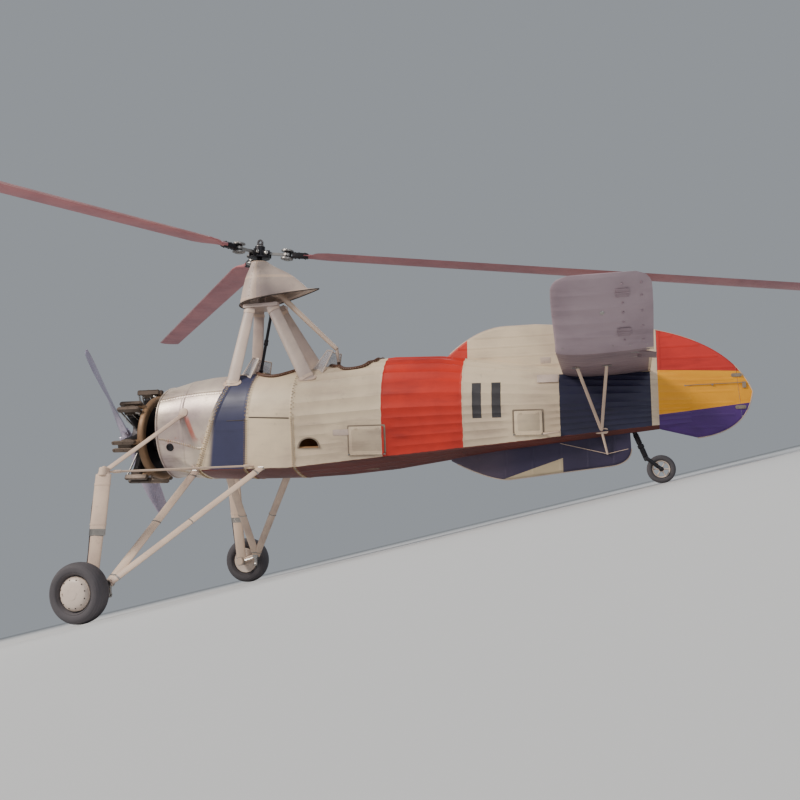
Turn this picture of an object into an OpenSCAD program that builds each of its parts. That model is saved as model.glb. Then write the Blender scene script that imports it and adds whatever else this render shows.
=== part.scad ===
/* [Fuselage] */
// Width of the fuselage at its widest, beside the cockpits
fuselage_w = 800; // [660:10:960]
// Thickness of the cockpit walls, frames and skin together
wall_t = 26; // [18:1:34]
// Length of each cockpit opening
cockpit_l = 440; // [360:10:530]
// Width of each cockpit opening
cockpit_w = 460; // [380:10:550]

/* [Undercarriage] */
// Distance between the middles of the two main tyres
track = 3088; // [2600:4:3700]
// Height of the propeller axis above the main axles
axle_drop = 1345; // [1200:5:1600]
// Diameter of a main tyre
tyre_d = 500; // [420:5:600]
// Width of a main tyre
tyre_w = 175; // [145:1:210]
// Diameter of the tail tyre
tail_tyre_d = 240; // [200:2:290]

/* [Rotor] */
// Radius of the rotor disc, from the spindle to a blade tip
rotor_r = 5640; // [4700:10:6800]
// Chord of a rotor blade
blade_chord = 280; // [230:1:340]
// Backward lean of the spindle, measured from the fuselage
spindle_lean = 3.5; // [0:0.1:5]
// Droop of a blade on its stop
droop = 2.5; // [1:0.1:4]
// Direction of the aft blade, turned from the nose toward port
aft_azimuth = 190; // [175:1:200]

/* [Propeller] */
// Radius of the propeller
prop_r = 1080; // [880:5:1300]
// Lean of the upper propeller blade toward port
prop_lean = 42; // [0:1:90]

/* [Tail] */
// Half span of the flat part of the tailplane
tail_half_span = 1262; // [1050:2:1520]
// Length of the upturned tip panel
tip_l = 650; // [540:5:780]
// Upward turn of the tip panel
tip_up = 45; // [35:1:55]

/* [Hidden] */
$fn = 48;

// ---- places, in the aircraft's own level frame: nose +X, port +Y, up +Z, propeller hub at zero

main_axle = [-588, track / 2, -axle_drop];
tail_axle = [-5179, 0, -404];
hub = [-1455, 0, 1795];
pivot_drop = 290;
eye_up = 112;
spindle_dir = [-sin(spindle_lean), 0, cos(spindle_lean)];
pivot = hub - pivot_drop * spindle_dir;
eye = hub + eye_up * spindle_dir;

// Nose-up lean of the parked aircraft, from its two wheel sizes and places
axle_run = [main_axle.x - tail_axle.x, tail_axle.z - main_axle.z];
pitch = atan2(axle_run.y, axle_run.x) + asin((tyre_d - tail_tyre_d) / 2 / norm(axle_run));

// Fuselage stations: [x, half width, crown, belly, chine half width, chine height, roundness]
half_w = fuselage_w / 2;
FORM = [
    [ -570, half_w * 1.05, 480, -400, half_w * 0.76, -280, 1.0],
    [ -800, half_w * 1.01, 540, -408, half_w * 0.83, -330, 0.5],
    [-1000, half_w * 0.98, 570, -420, half_w * 0.85, -350, 0.0],
    [-1250, half_w * 0.97, 584, -427, half_w * 0.86, -345, 0.0],
    [-1600, half_w * 1.00, 590, -428, half_w * 0.88, -336, 0.0],
    [-1970, half_w * 1.00, 600, -426, half_w * 0.88, -330, 0.0],
    [-2400, half_w * 0.97, 640, -404, half_w * 0.85, -298, 0.0],
    [-2870, half_w * 0.89, 680, -360, half_w * 0.76, -254, 0.0],
    [-3300, half_w * 0.78, 667, -296, half_w * 0.66, -220, 0.0],
    [-3800, half_w * 0.63, 592, -222, half_w * 0.53, -172, 0.0],
    [-4383, half_w * 0.48, 502, -155, half_w * 0.40, -112, 0.0],
    [-4800, half_w * 0.36, 466, -108, half_w * 0.29,  -70, 0.0],
    [-5150, half_w * 0.23, 448,  -68, half_w * 0.18,  -38, 0.0],
    [-5450, 28, 436, -34, 27, -14, 0.0]];
cowl_x = FORM[0][0];
seam_x = -1970;
bulkhead_x = -2870;
stern_x = FORM[len(FORM) - 1][0];
crown_steps = 7;
side_steps = 2;
belly_steps = 4;

function column(k) = [for (s = FORM) [s[0], s[k]]];
function width_at(x) = lookup(x, column(1));
function crown_at(x) = lookup(x, column(2));
function belly_at(x) = lookup(x, column(3));
function chine_w_at(x) = lookup(x, column(4));
function chine_z_at(x) = lookup(x, column(5));
function round_at(x) = lookup(x, column(6));
function waist_at(x) = 0.28 * crown_at(x) + 0.30 * chine_z_at(x) + 60;
function mix(a, b, k) = a + (b - a) * k;
function unit(v) = v / norm(v);
function bend(a, b, c, n) = [for (i = [0:n]) let (t = i / n) mix(mix(a, b, t), mix(b, c, t), t)];

// Port half of one fuselage ring, from the crown down to the keel line
function half_ring(x, t) = let (
    w = width_at(x) - t, top = crown_at(x) - t, low = belly_at(x) + t,
    cw = chine_w_at(x) - t, cz = chine_z_at(x) + t / 2, mid = waist_at(x), r = round_at(x),
    low_steps = side_steps + belly_steps)
    concat(
        [for (i = [0:crown_steps]) let (a = 90 - 90 * i / crown_steps)
            [x, w * pow(cos(a), 0.92), mid + (top - mid) * pow(sin(a), 0.92)]],
        [for (i = [1:low_steps]) let (
            a = 90 * i / low_steps,
            s = (i - side_steps) / belly_steps,
            chined = i <= side_steps
                ? [mix(w, cw, i / side_steps), mix(mid, cz, i / side_steps)]
                : [cw * (1 - s), low + (cz - low) * pow(1 - s, 2)],
            oval = [w * cos(a), mid - (mid - low) * sin(a)])
            [x, mix(chined.x, oval.x, r), mix(chined.y, oval.y, r)]]);

function ring(x, t = 0) = let (half = half_ring(x, t), n = len(half))
    concat(half, [for (i = [n - 2:-1:1]) [half[i].x, -half[i].y, half[i].z]]);

// Where the straight part of the port side lies, between waist and chine
function side_y(x, z) =
    mix(width_at(x), chine_w_at(x), (waist_at(x) - z) / (waist_at(x) - chine_z_at(x)));

// Solid through a row of rings that all have the same number of points
module loft(rings, flip = false) {
    n = len(rings[0]);
    m = len(rings);
    sides = [for (k = [0:m - 2], i = [0:n - 1]) let (
        a = k * n + i, b = k * n + (i + 1) % n, c = a + n, d = b + n)
        each [[b, a, c], [b, c, d]]];
    caps = [[for (i = [0:n - 1]) i], [for (i = [n - 1:-1:0]) (m - 1) * n + i]];
    faces = concat(sides, caps);
    polyhedron([for (r = rings) each r],
        [for (f = faces) flip ? [for (i = [len(f) - 1:-1:0]) f[i]] : f], 10);
}

function stations(x0, x1) =
    concat([x0], [for (s = FORM) if (s[0] < x0 && s[0] > x1) s[0]], [x1]);

module form(x0, x1, t = 0) {
    loft([for (x = stations(x0, x1)) ring(x, t)]);
}

// Prism across the whole aircraft, from an outline in the X-Z plane
module slab(outline, w = 1200) {
    rotate([90, 0, 0])
        linear_extrude(w, center = true)
            polygon(outline);
}

// Turns and moves the level aircraft to its parked place, with the lifting eye at zero
module parked() {
    rotate([0, -pitch, 0])
        translate(-eye)
            children();
}

module spindle_frame() {
    translate(hub)
        rotate([0, -spindle_lean, 0])
            children();
}

module port_or_starboard(side) {
    if (side > 0)
        children();
    else
        mirror([0, 1, 0])
            children();
}

// Z runs from a to b, and X lies as near to the given direction as it can
module along(a, b, fore = [1, 0, 0]) {
    w = unit(b - a);
    u = unit(fore - (fore * w) * w);
    v = cross(w, u);
    multmatrix([[u.x, v.x, w.x, a.x], [u.y, v.y, w.y, a.y], [u.z, v.z, w.z, a.z], [0, 0, 0, 1]])
        children();
}

function streamline(chord, thick) = [for (i = [0:17]) let (a = 20 * i)
    [chord / 2 * cos(a), thick / 2 * sin(a) * (1 + 0.3 * cos(a))]];

module strut(a, b, chord, thick) {
    along(a, b)
        linear_extrude(norm(b - a))
            polygon(streamline(chord, thick));
}

module tube(a, b, r) {
    along(a, b)
        cylinder(r = r, h = norm(b - a));
}

module side_bar(x, z, y0, y1, r) {
    translate([x, y0, z])
        rotate([-90, 0, 0])
            cylinder(r = r, h = y1 - y0);
}

// Aerofoil ring: trailing edge, over the top to the leading edge, and back below
function half_thick(s) = 5 * (0.2969 * sqrt(s) - 0.126 * s - 0.3516 * s * s
    + 0.2843 * pow(s, 3) - 0.1036 * pow(s, 4));
foil_steps = 8;
function foil_s(i) = (1 - cos(180 * i / foil_steps)) / 2;
function foil(lead, chord, thick, back, up) = concat(
    [for (i = [foil_steps:-1:0]) lead + back * chord * foil_s(i) + up * thick * half_thick(foil_s(i))],
    [for (i = [1:foil_steps - 1]) lead + back * chord * foil_s(i) - up * thick * half_thick(foil_s(i))]);

// ---- fuselage

// The cowl's rear edge leans: low and forward at the belly, high and aft at the crown
COWL_PART = [[-400, -600], [-900, -600], [-1400, 800], [-400, 800]];
fire_x = -1370;
lip_depth = 200;

module nose_cowl() {
    color("cornsilk")
        parked()
            difference() {
                intersection() {
                    form(cowl_x, seam_x);
                    slab(COWL_PART);
                }
                translate([cowl_x - lip_depth, 0, 20])
                    rotate([0, 90, 0])
                        cylinder(r = 370, h = lip_depth + 10);
            }
}

module opening(x, l, w) {
    translate([x, 0, 150])
        linear_extrude(800)
            hull() {
                translate([l / 2 - w * 0.3, 0])
                    circle(w * 0.3, $fn = 32);
                translate([w * 0.5 - l / 2, 0])
                    circle(w * 0.5, $fn = 32);
            }
}

front_cockpit_x = -1720;
rear_cockpit_x = -2475;

module front_fuselage() {
    color("ivory")
        parked()
            difference() {
                form(cowl_x, seam_x);
                slab(COWL_PART);
                form(fire_x, seam_x + wall_t, wall_t);
                opening(front_cockpit_x, cockpit_l, cockpit_w);
            }
}

// Stands on the port side, X aft, Y up the skin, Z outward
module on_side(x, z, lift = 0) {
    step = 100;
    skin = [x, side_y(x, z), z];
    fore = unit([step, side_y(x + step, z) - skin.y, 0]);
    rise = unit([0, side_y(x, z + step) - skin.y, step]);
    out = unit(cross(rise, fore));
    up = cross(fore, out);
    p = skin + lift * out;
    multmatrix([[-fore.x, up.x, out.x, p.x], [-fore.y, up.y, out.y, p.y],
        [-fore.z, up.z, out.z, p.z], [0, 0, 0, 1]])
        children();
}

locker = [-2660, -105];
locker_size = [320, 250];
hatch = [-4090, 15];
hatch_size = [240, 205];
door_t = 4;
door_lift = 4;
door_margin = 16;
step_hole = [-2115, -130];

module mid_fuselage() {
    color("ivory")
        parked()
            difference() {
                form(seam_x, bulkhead_x);
                form(seam_x - wall_t, bulkhead_x + wall_t, wall_t);
                opening(rear_cockpit_x, cockpit_l + 60, cockpit_w);
                on_side(locker.x, locker.y)
                    cube([locker_size.x - 2 * door_margin, locker_size.y - 2 * door_margin, 160],
                        center = true);
                on_side(step_hole.x, step_hole.y)
                    intersection() {
                        translate([0, -20, 0])
                            cylinder(r = 90, h = 160, center = true);
                        translate([0, 10, 0])
                            cube([190, 100, 160], center = true);
                    }
            }
}

module rear_fuselage() {
    color("ivory")
        parked()
            difference() {
                form(bulkhead_x, stern_x);
                on_side(hatch.x, hatch.y)
                    cube([hatch_size.x - 2 * door_margin, hatch_size.y - 2 * door_margin, 120],
                        center = true);
            }
}

hinge_r = 3.6;
knuckle_r = 7;

// A panel hinged along its lower edge, standing just proud of the skin
module door(place, size) {
    parked()
        on_side(place.x, place.y, door_lift)
            difference() {
                union() {
                    translate([-size.x / 2, -size.y / 2 + 2, knuckle_r - door_t])
                        cube([size.x, size.y - 2, door_t]);
                    translate([-size.x / 2 + 10, -size.y / 2, knuckle_r])
                        rotate([0, 90, 0])
                            cylinder(r = knuckle_r, h = size.x - 20);
                }
                translate([-size.x, -size.y / 2, knuckle_r])
                    rotate([0, 90, 0])
                        cylinder(r = hinge_r + 0.3, h = 2 * size.x);
            }
}

module locker_door() {
    color("ivory")
        door(locker, locker_size);
}

module inspection_door() {
    color("ivory")
        door(hatch, hatch_size);
}

// Fixed hinge pins with an ear at each end that stands on the skin
module hinge_pin(place, size) {
    ear = 8;
    on_side(place.x, place.y, door_lift)
        union() {
            translate([-size.x / 2 - 12, -size.y / 2, knuckle_r])
                rotate([0, 90, 0])
                    cylinder(r = hinge_r, h = size.x + 24);
            for (s = [-1, 1])
                translate([s * (size.x / 2 + 8) - ear / 2, -size.y / 2 - 8, -30])
                    cube([ear, 16, 30 + 2 * knuckle_r]);
        }
}

module door_hinges() {
    color("silver")
        parked()
            difference() {
                union() {
                    hinge_pin(locker, locker_size);
                    hinge_pin(hatch, hatch_size);
                }
                form(seam_x, bulkhead_x);
                form(bulkhead_x, stern_x);
            }
}

// ---- engine and propeller

engine_x = -250;
crank_r = 190;
jug_r = 72;
jug_top = 400;
head_top = 490;

module engine_frame() {
    translate([engine_x, 0, 0])
        rotate([0, 90, 0])
            children();
}

prop_shaft_r = 24;

module crankcase() {
    color("dimgray")
        parked() {
            engine_frame()
                translate([0, 0, cowl_x - lip_depth - engine_x])
                    cylinder(r = crank_r, h = engine_x - cowl_x + lip_depth + 90);
            engine_frame()
                translate([0, 0, 90])
                    cylinder(r1 = 120, r2 = 70, h = 70);
            engine_frame()
                translate([0, 0, 150])
                    cylinder(r = prop_shaft_r, h = 90);
        }
}

module cylinders() {
    color("slategray")
        parked()
            difference() {
                engine_frame()
                    for (k = [0:6])
                        rotate([0, 0, 360 / 7 * k + 180]) {
                            translate([crank_r - 15, 0, 0])
                                rotate([0, 90, 0])
                                    cylinder(r = jug_r, h = jug_top - crank_r + 15);
                            translate([jug_top - 1, -60, -85])
                                cube([60, 120, 170]);
                            for (s = [-1, 1])
                                translate([jug_top + 20, s * 36 - 17, -125])
                                    cube([head_top - jug_top - 20, 34, 250]);
                        }
                engine_frame()
                    translate([0, 0, -600])
                        cylinder(r = crank_r, h = 1200);
            }
}

ring_x = -395;
ring_r = 377;
ring_half = 38;

module exhaust_ring() {
    color("peru")
        parked()
            translate([ring_x, 0, 0])
                rotate([0, 90, 0])
                    difference() {
                        cylinder(r = ring_r + ring_half, h = 2 * ring_half, center = true);
                        cylinder(r = crank_r, h = 4 * ring_half, center = true);
                        for (s = [-1, 1])
                            translate([0, 0, s * 58])
                                cylinder(r = ring_r - ring_half, h = 100, center = true);
                    }
}

prop_hub_l = 120;
prop_hub_r = 62;

module prop_hub() {
    color("lightsteelblue")
        parked()
            translate([-prop_hub_l + 50, 0, 0])
                rotate([0, 90, 0])
                    difference() {
                        union() {
                            cylinder(r = prop_hub_r, h = prop_hub_l);
                            translate([0, 0, prop_hub_l])
                                cylinder(r = 28, h = 35);
                        }
                        translate([0, 0, -10])
                            cylinder(r = prop_shaft_r + fit, h = 80);
                    }
}

prop_root = 55;

module propeller() {
    rows = [[prop_root, 90, 84, 65], [0.16 * prop_r, 96, 70, 60], [0.30 * prop_r, 150, 46, 48],
        [0.55 * prop_r, 178, 28, 32], [0.80 * prop_r, 160, 18, 22], [0.94 * prop_r, 125, 13, 18],
        [prop_r, 60, 8, 16]];
    color("lightsteelblue")
        parked()
            difference() {
                rotate([-prop_lean, 0, 0])
                    for (s = [0, 180])
                        rotate([s, 0, 0])
                            loft([for (q = rows) foil([q[1] * 0.45 * sin(q[3]), -q[1] * 0.45 * cos(q[3]), q[0]],
                                q[1], q[2], [-sin(q[3]), cos(q[3]), 0], [cos(q[3]), sin(q[3]), 0])], true);
                translate([-200, 0, 0])
                    rotate([0, 90, 0])
                        cylinder(r = prop_hub_r, h = 400);
            }
}

// ---- pylon and rotor head

front_foot = [-1285, 285, 380];
front_top = [-1405, 100, 1240];
rear_foot = [-2110, 285, 400];
rear_top = [-1630, 104, 1240];
pylon_deck_z = 1232;

module pylon_legs(foot, top, chord) {
    color("antiquewhite")
        parked()
            difference() {
                for (s = [1, -1])
                    port_or_starboard(s)
                        strut(foot, top + unit(top - foot) * 40, chord, 36);
                form(cowl_x, seam_x);
                form(seam_x, bulkhead_x);
                above_pylon_deck();
            }
}

module above_pylon_deck() {
    translate([-2500, -500, pylon_deck_z])
        cube([2000, 1000, 400]);
}

module pylon_front_legs() {
    pylon_legs(front_foot, front_top, 132);
}

module pylon_rear_legs() {
    pylon_legs(rear_foot, rear_top, 140);
}

gimbal_pin_r = 13;
tilt_pin_r = 10;
cheek_y = 62;
fit = 0.3;

module pylon_head() {
    color("darkslategray")
        parked()
            difference() {
                union() {
                    translate([-1700, -130, pylon_deck_z])
                        cube([362, 260, 34]);
                    for (s = [-1, 1])
                        translate([pivot.x - 45, s * (cheek_y + 12) - 12, pylon_deck_z])
                            cube([90, 24, pivot.z - pylon_deck_z + 45]);
                    intersection() {
                        side_bar(-1440, 1320, -300, 300, 10);
                        fairing_form(fairing_t);
                    }
                }
                translate([-1800, -72, pylon_deck_z - 10])
                    cube([190, 144, 80]);
                side_bar(pivot.x, pivot.z, -200, 200, gimbal_pin_r + fit);
                side_bar(-1440, 1320, -cheek_y, cheek_y, 11);
            }
}

fairing_t = 6;
fairing_tail = 630;
fairing_nose = 190;

// Teardrop ring of the rotor head fairing: k shrinks it from the skirt to the neck
function drop(z, k, t) = let (
    r = mix(fairing_nose, 80, k) - t, tail = mix(fairing_tail, 84, k) - 2 * t, x0 = mix(-1450, hub.x, k))
    [for (i = [0:23]) let (a = 15 * i, c = cos(a))
        [x0 + (c > 0 ? r * c : tail * c), r * sin(a) * (c > 0 ? 1 : 1 - 0.62 * k_tail(k) * c * c), z]];
function k_tail(k) = 1 - k;

module fairing_form(t) {
    loft([for (q = [[1200, 0], [1330, 0.10], [1450, 0.30], [1560, 0.55], [1640, 0.82], [1700, 1]])
        drop(q[0], q[1], t)]);
}

module head_fairing() {
    color("antiquewhite")
        parked()
            difference() {
                fairing_form(0);
                difference() {
                    fairing_form(fairing_t);
                    translate([-2200, -300, 1694])
                        cube([1200, 600, 20]);
                }
                slab([[-900, 1100], [-1200, 1256], [-2200, 1412], [-2300, 1100]]);
                translate([hub.x, 0, 1600])
                    cylinder(r = 72, h = 200);
            }
}

module starter_shaft() {
    color("dimgray")
        parked()
            difference() {
                tube([-1462, 0, 560], [-1590, 0, pylon_deck_z], 15);
                form(cowl_x, seam_x);
                above_pylon_deck();
            }
}

// Parts of the tilting head stand in the spindle's frame, dropped to the pivot
module pivot_frame() {
    spindle_frame()
        translate([0, 0, -pivot_drop])
            children();
}

module head_gimbal() {
    color("gray")
        parked()
            pivot_frame()
                difference() {
                    union() {
                        translate([-78, -56, -24])
                            cube([156, 112, 48]);
                        side_bar(0, 0, -cheek_y - 22, cheek_y + 22, gimbal_pin_r);
                    }
                    translate([-54, -38, -40])
                        cube([108, 76, 80]);
                    translate([-100, 0, 0])
                        rotate([0, 90, 0])
                            cylinder(r = tilt_pin_r + fit, h = 200);
                }
}

spindle_r = 30;
journal_r = 24;

module rotor_head() {
    color("gray")
        parked()
            pivot_frame() {
                translate([0, 0, -110])
                    cylinder(r = spindle_r, h = 110 + pivot_drop - 60);
                translate([0, 0, pivot_drop - 61])
                    cylinder(r = journal_r, h = 110);
                translate([-76, 0, 0])
                    rotate([0, 90, 0])
                        cylinder(r = tilt_pin_r, h = 152);
            }
}

grip_top = [-2262, 0, 790];

module control_column() {
    arm_start = pivot + [-18, 0, -92];
    elbow = [-1690, 0, 1345];
    foot = [-2290, 0, 560];
    color("antiquewhite")
        parked()
            difference() {
                union() {
                    strut(arm_start, elbow, 60, 34);
                    translate(elbow)
                        sphere(r = 24);
                    strut(elbow, grip_top, 70, 34);
                    translate(grip_top)
                        sphere(r = 22);
                    tube(grip_top, foot, 15);
                    tube(foot + [0, 0, 110], foot, 21);
                }
                pivot_frame()
                    translate([0, 0, -120])
                        cylinder(r = spindle_r, h = 240);
            }
}

flap_r = 80;
drag_r = 280;
flap_pin_r = 12;
hub_r = 50;
lug_in = 24;
lug_t = 14;

module rotor_hub() {
    color("darkslategray")
        parked()
            spindle_frame() {
                difference() {
                    union() {
                        translate([0, 0, -50])
                            cylinder(r = hub_r, h = 118);
                        translate([0, 0, -50])
                            cylinder(r = 104, h = 14);
                        for (k = [0:2], s = [-1, 1])
                            rotate([0, 0, aft_azimuth + 120 * k])
                                translate([30, s * (lug_in + lug_t / 2) - lug_t / 2, -40])
                                    cube([80, lug_t, 66]);
                        for (k = [0:2])
                            rotate([0, 0, aft_azimuth + 120 * k])
                                side_bar(flap_r, 0, -lug_in - lug_t - 8, lug_in + lug_t + 8, flap_pin_r);
                        translate([0, 0, 68])
                            cylinder(r = 36, h = 14);
                        translate([-30, -8, 80])
                            cube([60, 16, eye_up - 80]);
                        translate([0, 0, eye_up])
                            rotate([90, 0, 0])
                                cylinder(r = 30, h = 16, center = true);
                    }
                    translate([0, 0, -60])
                        cylinder(r = journal_r + fit, h = 110);
                    translate([0, 0, eye_up])
                        rotate([90, 0, 0])
                            cylinder(r = 14, h = 40, center = true);
                }
            }
}

// A blade's own frame: X outward, Y toward its leading edge, drooped at the flapping hinge
module blade_frame(k) {
    spindle_frame()
        rotate([0, 0, aft_azimuth - 120 * (k - 1)])
            translate([flap_r, 0, 0])
                rotate([0, droop, 0])
                    translate([-flap_r, 0, 0])
                        children();
}

drag_pin_r = 13;

module blade_link(k) {
    color("darkslategray")
        parked()
            blade_frame(k)
                difference() {
                    union() {
                        side_bar(flap_r, 0, -lug_in + 4, lug_in - 4, 22);
                        translate([flap_r, -18, -12])
                            cube([drag_r - flap_r, 36, 24]);
                        translate([drag_r, 0, -12])
                            cylinder(r = 40, h = 24);
                        translate([drag_r, 0, -44])
                            cylinder(r = drag_pin_r, h = 88);
                        for (z = [-44, 32])
                            translate([drag_r, 0, z])
                                cylinder(r = 62, h = 12);
                    }
                    side_bar(flap_r, 0, -lug_in, lug_in, flap_pin_r + fit);
                }
}

module blade_link_1() { blade_link(1); }
module blade_link_2() { blade_link(2); }
module blade_link_3() { blade_link(3); }

blade_root = 450;
fork_gap = 15;
spar = 0.27;

module rotor_blade(k) {
    rows = [[blade_root, 70, 46], [blade_root + 60, 78, 44], [blade_root + 170, blade_chord * 0.86, 36],
        [blade_root + 270, blade_chord, 36], [rotor_r - 70, blade_chord, 34],
        [rotor_r - 22, blade_chord * 0.9, 28], [rotor_r, blade_chord * 0.6, 14]];
    color("rosybrown")
        parked()
            blade_frame(k)
                difference() {
                    union() {
                        loft([for (q = rows) foil([q[0], q[1] * 0.5 + (q[1] - 70) * (spar * -0.9 + 0.1), 0],
                            q[1], q[2], [0, -1, 0], [0, 0, 1])], true);
                        translate([drag_r + 52, -30, -27])
                            cube([blade_root - drag_r - 20, 60, 54]);
                        for (z = [-27, fork_gap]) {
                            translate([drag_r, -34, z])
                                cube([70, 68, 27 - fork_gap]);
                            translate([drag_r, 0, z])
                                cylinder(r = 34, h = 27 - fork_gap);
                        }
                    }
                    translate([drag_r, 0, -60])
                        cylinder(r = drag_pin_r + (k == 1 ? 0 : fit), h = 120);
                }
}

module blade_1() { rotor_blade(1); }
module blade_2() { rotor_blade(2); }
module blade_3() { rotor_blade(3); }

// ---- cockpits

// Front half of a thin cone, leaning back over the cockpit's front edge
module windscreen(x, z, r0, r1, h) {
    difference() {
        translate([x, 0, z - 120])
            rotate([0, -12, 0])
                rotate([0, 0, -80])
                    rotate_extrude(angle = 160)
                        polygon([[r0, 0], [r0 + 5, 0], [r1 + 5, h + 120], [r1, h + 120]]);
        form(cowl_x, seam_x);
        form(seam_x, bulkhead_x);
    }
}

module front_windscreen() {
    color("lightcyan", 0.5)
        parked()
            windscreen(-1490, 560, 250, 150, 160);
}

module rear_windscreen() {
    color("lightcyan", 0.5)
        parked()
            windscreen(-2230, 600, 250, 120, 160);
}

seat_lean = 8;
seat_back_h = 470;

// Pan and back of a seat. The back's top rear edge is at x, and its pan's front edge is length ahead of it
module seat(x, z, length) {
    foot = x + seat_back_h * sin(seat_lean);
    translate([foot, -184, z - 120])
        cube([x + length - foot, 368, 40]);
    translate([foot, -190, z - 106])
        rotate([0, -seat_lean, 0])
            cube([40, 380, seat_back_h]);
}

// Box under a seat, standing on the cockpit floor
module seat_box(x, z) {
    translate([x + 105, -150, z - 600])
        cube([300, 300, 481]);
}

seat_gap = 4;
front_seat = [seam_x + wall_t + seat_gap, 60, 440];
rear_seat = [rear_cockpit_x - 335, 80, 495];

module seats() {
    color("saddlebrown")
        parked() {
            seat(front_seat.x, front_seat.y, front_seat.z);
            seat(rear_seat.x, rear_seat.y, rear_seat.z);
            intersection() {
                seat_box(front_seat.x, front_seat.y);
                form(fire_x, seam_x + wall_t, wall_t);
            }
            intersection() {
                seat_box(rear_seat.x, rear_seat.y);
                form(seam_x - wall_t, bulkhead_x + wall_t, wall_t);
            }
        }
}

module panel_board(x, low) {
    translate([x - 16, -500, low])
        cube([16, 1000, 500]);
}

module instrument_panels() {
    color("dimgray")
        parked() {
            intersection() {
                form(fire_x, seam_x + wall_t, wall_t);
                panel_board(-1440, 330);
            }
            intersection() {
                form(seam_x - wall_t, bulkhead_x + wall_t, wall_t);
                panel_board(-2170, 330);
            }
        }
}

// ---- tail

fin_half = 27;
tail_z = 443;
tail_lead = -4383;

module tailplane() {
    turn = tip_up / 2;
    y1 = tail_half_span;
    tip = function (s) [0, y1 + s * cos(tip_up), tail_z + 12 + s * sin(tip_up)];
    flat_up = [0, 0, 1];
    knee_up = [0, -sin(turn), cos(turn)] / cos(turn);
    tip_dir = [0, -sin(tip_up), cos(tip_up)];
    back = [-1, 0, 0];
    difference() {
        loft([
            foil([tail_lead, fin_half, tail_z], 742, 84, back, flat_up),
            foil([tail_lead - 57, y1 - 30, tail_z + 12], 704, 62, back, flat_up),
            foil([tail_lead - 59, y1 + 10, tail_z + 16], 702, 60, back, knee_up),
            foil(tip(60) + [tail_lead - 62, 0, 0], 700, 58, back, tip_dir),
            foil(tip(tip_l - 110) + [tail_lead - 70, 0, 0], 692, 48, back, tip_dir),
            foil(tip(tip_l - 30) + [tail_lead - 115, 0, 0], 610, 34, back, tip_dir),
            foil(tip(tip_l) + [tail_lead - 190, 0, 0], 470, 12, back, tip_dir)]);
        tab_room();
    }
}

module tailplane_half(side) {
    color("ivory")
        parked()
            difference() {
                port_or_starboard(side)
                    tailplane();
                form(bulkhead_x, stern_x);
            }
}

// Slot at the trailing edge of the flat panel, where the small tab sits
tab_y = [900, 1190];
tab_chord = 110;

module tab_room() {
    translate([-5300, tab_y[0], tail_z - 80])
        cube([165 + tab_chord, tab_y[1] - tab_y[0], 160]);
}

module left_tailplane() { tailplane_half(1); }
module right_tailplane() { tailplane_half(-1); }

// Ground-set tabs, bent down a little behind the tailplane's trailing edge
module tail_tabs() {
    front = -5300 + 165 + tab_chord;
    color("ivory")
        parked()
            for (s = [1, -1])
                port_or_starboard(s)
                    translate([front - 1.5, 0, tail_z + 10])
                        rotate([0, -10, 0])
                            slab_y([[0, 9], [0, -9], [-tab_chord - 30, -2], [-tab_chord - 30, 2]],
                                tab_y[0], tab_y[1]);
}

module slab_y(outline, y0, y1) {
    translate([0, y1, 0])
        rotate([90, 0, 0])
            linear_extrude(y1 - y0)
                polygon(outline);
}

module tailplane_struts() {
    foot = [-4702, 108, -70];
    color("antiquewhite")
        parked()
            difference() {
                for (s = [1, -1])
                    port_or_starboard(s)
                        difference() {
                            union() {
                                tube(foot, [-4545, 700, tail_z], 12);
                                tube(foot, [-4790, 700, tail_z], 12);
                            }
                            tailplane();
                        }
                form(bulkhead_x, stern_x);
            }
}

// Plan wedge that thins the fins toward the front and the trailing edge
FIN_PLAN = [[-3200, 8], [-3700, 20], [-4400, fin_half], [stern_x, fin_half], [-5960, 6],
    [-5960, -6], [stern_x, -fin_half], [-4400, -fin_half], [-3700, -20], [-3200, -8]];
rudder_x = -5180;

module fin_plan() {
    translate([0, 0, -1200])
        linear_extrude(2400)
            polygon(FIN_PLAN);
}

// Whole upper fin and stern outline, from its front point over the top to the tail end
function fin_outline() = concat(
    bend([-3320, 640], [-3600, 900], [-3870, 905], 8),
    [[-4154, 905]],
    bend([-5100, 812], [-5780, 660], [-5936, 230], 12),
    bend([-5936, 230], [-5890, -105], [-5487, -146], 8),
    [[-5162, -60], [-5100, 200], [-4000, 300], [-3320, 500]]);

module dorsal_fin() {
    color("ivory")
        parked()
            difference() {
                intersection() {
                    slab(fin_outline());
                    fin_plan();
                    slab([[-3000, 300], [rudder_x, 300], [rudder_x, 1000], [-3000, 1000]]);
                }
                form(bulkhead_x, stern_x);
            }
}

TAB_CUT = [[-5800, 543], [-5842, 15], [-6100, 15], [-6100, 543]];

module tail_fin() {
    color("gold")
        parked()
            difference() {
                intersection() {
                    slab(fin_outline());
                    fin_plan();
                    slab([[rudder_x, -300], [-6100, -300], [-6100, 1000], [rudder_x, 1000]]);
                }
                form(bulkhead_x, stern_x);
                slab(TAB_CUT);
            }
}

module fin_tab() {
    color("gold")
        parked()
            intersection() {
                slab(fin_outline());
                fin_plan();
                translate([-2, 0, 0])
                    slab(TAB_CUT);
            }
}

module ventral_fin() {
    outline = concat([[-3351, -200]], bend([-3360, -300], [-3700, -475], [-3880, -475], 6),
        [[-4304, -424]], bend([-4760, -372], [-4935, -350], [-4940, -226], 5), [[-4934, -20], [-4200, 0]]);
    color("ivory")
        parked()
            difference() {
                intersection() {
                    slab(outline);
                    fin_plan();
                }
                form(bulkhead_x, stern_x);
            }
}

// ---- undercarriage

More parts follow.
